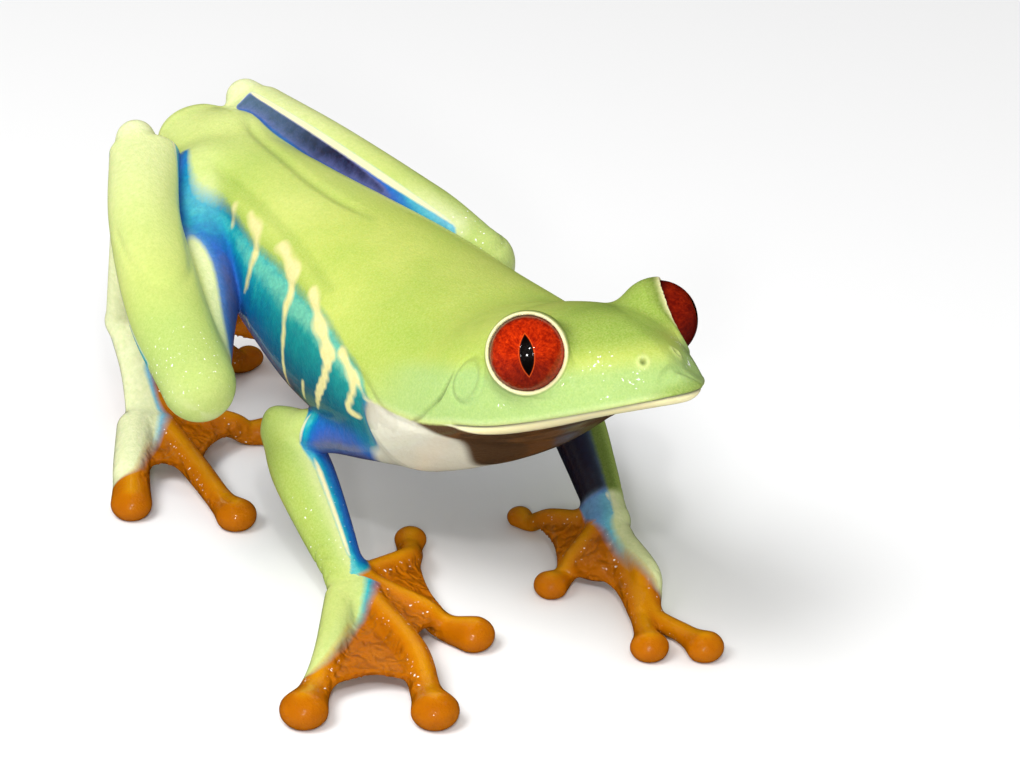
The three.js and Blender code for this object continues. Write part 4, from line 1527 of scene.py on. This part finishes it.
def green_skin(n, broad, grain, pores):
    green = n.ramp(
        n.share(broad, 0.5, 0.5),
        (0.25, srgb(164, 188, 78)),
        (0.5, srgb(182, 196, 88)),
        (0.75, srgb(200, 206, 104)),
    )
    return n.tint(
        green,
        (n.field("cool"), srgb(160, 192, 122)),
        (n.field("pallor"), srgb(216, 224, 146)),
        (n.field("milk"), srgb(240, 240, 200)),
        # Darker green: the head's olive crown and tip, and painted shade in folds, along edges and under
        # the head.
        (n.field("dark_green_and_shade"), srgb(118, 146, 50)),
        (n.share(grain, 0.3, 0.16), srgb(140, 178, 62)),
        (n.share(pores, 0.3, 0.1), srgb(222, 232, 150)),
    )


def orange_skin(n, patchy):
    # Darker in the webs between the digits and lighter on the ridges: painted light and shade.
    orange = n.ramp(
        n.math("MULTIPLY_ADD", patchy, 0.2, n.field("ridge_light_web_shade")),
        (0.0, srgb(150, 72, 0)),
        (0.5, srgb(188, 108, 0)),
        (1.0, srgb(208, 138, 2)),
    )
    stain = n.share(n.noise(1.1, 3, 0.6), 1.6, -0.35)
    return n.mix(n.share(stain, 0.5), orange, srgb(120, 64, 4))


def painted_glint_spots(n):
    """Painted highlights: small white points where wet skin would catch the flash."""
    painted_glints = n.field("painted_glints")
    grains = n.math("MULTIPLY_ADD", n.noise(3.2, 1, 0.5), 9.0, -5.4)
    glint = n.math("MAXIMUM", n.math("MULTIPLY_ADD", painted_glints, 3.4, grains), 0.0)
    return n.math("MULTIPLY", glint, painted_glints, clamp=True)


def skin_relief(n, grain, pores):
    """Fine grain all over, and crumpled webs."""
    height = n.math("MULTIPLY_ADD", pores, 0.35, n.math("MULTIPLY", grain, 0.6))
    crumple = n.math("MULTIPLY", n.noise(0.9, 1, 0.4, warp=0.5), n.field("web"))
    return n.bump(n.math("MULTIPLY_ADD", crumple, 12.0, height), 0.5, 0.1)


def skin_material():
    n = Nodes("frog_skin")
    broad, patchy, grain, pores = [n.noise(*each) for each in SKIN_NOISES]
    colour = n.tint(
        blue_skin(n, grain),
        (n.mask("pale", 0.9, 0.3, patchy), white_skin(n, grain)),
        (n.mask("green", 0.26, 0.07, grain), green_skin(n, broad, grain, pores)),
        (n.mask("orange", 0.6, 0.12, patchy), orange_skin(n, patchy)),
        (n.mask("line", 0.22, 0.05, grain), cream_skin(n, patchy, grain)),
        (n.field("shade"), srgb(34, 26, 14)),
        # Painted highlights: white glints on wet skin.
        (painted_glint_spots(n), srgb(255, 255, 250)),
    )
    wet = n.field("wet")
    return n.surface(
        {
            "Base Color": colour,
            "Roughness": n.math("MULTIPLY_ADD", wet, -0.2, 0.52),
            "Coat Weight": n.share(wet, 0.8, 0.05),
            "Coat Roughness": 0.07,
            "Coat IOR": 1.33,
            "Specular IOR Level": 0.12,
            "Subsurface Weight": 0.12,
            "Subsurface Scale": 0.6 * MM,
            "Subsurface Radius": (1.0, 0.6, 0.3),
            "Normal": skin_relief(n, grain, pores),
        }
    )


skin.data.materials.append(skin_material())

# ---- eyes ----

# The pupil's half width and half height, and how much painted shade darkens the far eye.
PUPIL = (0.6, 1.72)
FAR_EYE_SHADE = 0.6


def eye_ball(side):
    """A ball round the eye's axis, its upright pupil sunk into the iris."""
    axis = HEAD_TURN @ direction(side * GAZE_HEADING, GAZE_PITCH)
    up = unit(HEAD_TURN @ UP - (HEAD_TURN @ UP @ axis) * axis)
    right = np.cross(up, axis)
    rings, sides = 150, 160
    polar = np.linspace(0, 1, rings + 1)[1:, None] ** 1.2 * math.pi * 0.97
    turn = np.linspace(0, 2 * math.pi, sides, endpoint=False)[None]
    x = np.sin(polar) * np.cos(turn)
    y = np.sin(polar) * np.sin(turn)
    z = np.cos(polar) + 0 * turn
    local = np.vstack(((0, 0, 1), np.stack((x, y, z), -1).reshape(-1, 3), (0, 0, -1)))
    slit = pupil_distance(local)
    radius = EYEBALL - 0.05 * smooth(0.06, -0.12, slit)
    points = eye_centre(side) + radius[:, None] * (local @ np.array((right, up, axis)))
    faces = []
    for j in range(sides):
        k = (j + 1) % sides
        faces.append((0, 1 + j, 1 + k))
        for i in range(rings - 1):
            a = 1 + i * sides
            faces.append((a + j, a + sides + j, a + sides + k, a + k))
        last = 1 + (rings - 1) * sides
        faces.append((last + j, len(points) - 1, last + k))
    ball = new_mesh(f"eyeball_{TAG[side]}", points, faces)
    around = np.arctan2(local[:, 1], local[:, 0])
    fields = {
        "slit": slit,
        "away": np.arccos(np.clip(local[:, 2], -1, 1)) * EYEBALL,
        "round_x": np.cos(around),
        "round_y": np.sin(around),
        "shadow": np.full(len(local), FAR_EYE_SHADE * (side == LEFT)),
    }
    store(ball, fields)
    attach(ball, "root")
    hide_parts(f"eye_{TAG[side]}")
    return ball


def pupil_distance(local):
    """Roughly how far each place on the ball is outside the pupil, in millimetres."""
    wide, tall = PUPIL
    x, y = local[:, 0] * EYEBALL, local[:, 1] * EYEBALL
    lens = (wide**2 + tall**2) / (2 * wide)
    reach = np.hypot(np.abs(x) + lens - wide, y) - lens
    return np.where(local[:, 2] > 0, reach, EYEBALL)


def eye_material():
    n = Nodes("frog_eye")
    away, slit = n.field("away"), n.field("slit")
    around = n.put(
        "ShaderNodeCombineXYZ",
        {0: n.field("round_x"), 1: n.field("round_y"), 2: n.math("MULTIPLY", away, 0.28)},
    )
    fibre = n.grains(around.outputs[0], 9.0, 4.0, 0.65)
    tone = n.math("MULTIPLY_ADD", fibre, 0.55, 0.5)
    iris = n.ramp(
        n.math("MULTIPLY_ADD", n.noise(1.6, 4, 0.7), 0.35, tone),
        (0.1, srgb(100, 10, 0)),
        (0.4, srgb(150, 24, 0)),
        (0.7, srgb(200, 48, 2)),
        (1.0, srgb(232, 96, 20)),
    )
    # Darker toward the iris's edge: painted shade on the side of the ball turned from the light.
    rim = n.share(away, 1 / 0.9, -3.3 / 0.9)
    low = n.share(n.field("round_y"), -0.6, 0.05)
    glow = n.share(n.math("ABSOLUTE", n.math("ADD", slit, -0.04)), -1 / 0.05, 1.0)
    black = n.share(slit, -1 / 0.05, 0.2)
    colour = n.tint(
        iris,
        (rim, srgb(60, 8, 4)),
        (low, srgb(70, 8, 2)),
        (n.field("shadow"), srgb(44, 2, 4)),
        (n.share(glow, 0.7), srgb(225, 90, 20)),
        (black, srgb(8, 3, 2)),
    )
    return n.surface(
        {
            "Base Color": colour,
            "Roughness": 0.35,
            "Coat Weight": 1.0,
            "Coat Roughness": 0.02,
            "Coat IOR": 1.3,
            "Specular IOR Level": 0.1,
            "Normal": n.bump(fibre, 0.3, 0.05),
        }
    )


EYE_PAINT = eye_material()
for eye_side in SIDES:
    eye_ball(eye_side).data.materials.append(EYE_PAINT)

# ---- floor, lights and camera ----

# Half the floor's width, and the square lamps, in metres: name, place, aim, width, watts,
# and whether wet skin mirrors the lamp.
FLOOR_HALF = 1.5
LAMPS = (
    ("key", (-0.32, 0.0, 0.5), (0, 0, 0.02), 0.28, 2.5, False),
    ("front", (-0.22, -0.3, 0.42), (0, -0.02, 0.02), 0.14, 0.6, False),
    ("flash_high", (-0.2, -0.29, 0.34), (0, -0.02, 0.02), 0.016, 0.25, True),
    ("flash_low", (-0.265, -0.296, 0.196), (0, -0.03, 0.02), 0.035, 0.3, True),
    ("fill", (0.4, -0.4, 0.25), (0, 0, 0.02), 0.4, 0.3, False),
)
# Where the camera stands and what it looks at, in the frog's frame, its focal length in
# pixels and its roll in degrees.
CAMERA_AT = (-204.2337, -274.4164, 186.5146)
CAMERA_AIM = (3.2029, -19.1194, 18.3402)
FOCAL_PIXELS = 4294.18
PICTURE_WIDTH = 1020
CAMERA_ROLL = -1.092
SENSOR = 36


def area_light(name, at, aim, size, watts, sparkle):
    light = bpy.data.lights.new(name, "AREA")
    light.size = size
    light.energy = watts
    lamp = link(name, light)
    lamp.location = Vector(at)
    lamp.rotation_euler = (Vector(aim) - Vector(at)).to_track_quat("-Z", "Y").to_euler()
    lamp.visible_glossy = sparkle


def floor():
    mesh = bpy.data.meshes.new("floor")
    corners = [(x * FLOOR_HALF, y * FLOOR_HALF, 0) for x, y in ((-1, -1), (1, -1), (1, 1), (-1, 1))]
    mesh.from_pydata(corners, [], [(0, 1, 2, 3)])
    mesh.materials.append(Nodes("floor").surface({"Base Color": (0.9, 0.9, 0.9, 1), "Roughness": 0.9}))
    thing = link("floor", mesh)
    thing.visible_glossy = False


def world():
    sky = bpy.data.worlds.new("studio")
    sky.use_nodes = True
    background = sky.node_tree.nodes["Background"]
    background.inputs["Color"].default_value = (1, 1, 1, 1)
    background.inputs["Strength"].default_value = 0.42
    sky.cycles_visibility.glossy = False
    bpy.context.scene.world = sky


def camera():
    lens = bpy.data.cameras.new("camera")
    lens.sensor_width = SENSOR
    lens.lens = FOCAL_PIXELS * SENSOR / PICTURE_WIDTH
    lens.clip_start = 0.01
    lens.clip_end = 10
    eye = link("camera", lens)
    eye.location = place(CAMERA_AT)
    gaze = place(CAMERA_AIM) - eye.location
    roll = Matrix.Rotation(math.radians(-CAMERA_ROLL), 3, "Z")
    eye.rotation_euler = (gaze.to_track_quat("-Z", "Y").to_matrix() @ roll).to_euler()
    bpy.context.scene.camera = eye


floor()
world()
for lamp in LAMPS:
    area_light(*lamp)
camera()
bpy.context.scene.view_settings.view_transform = "Standard"
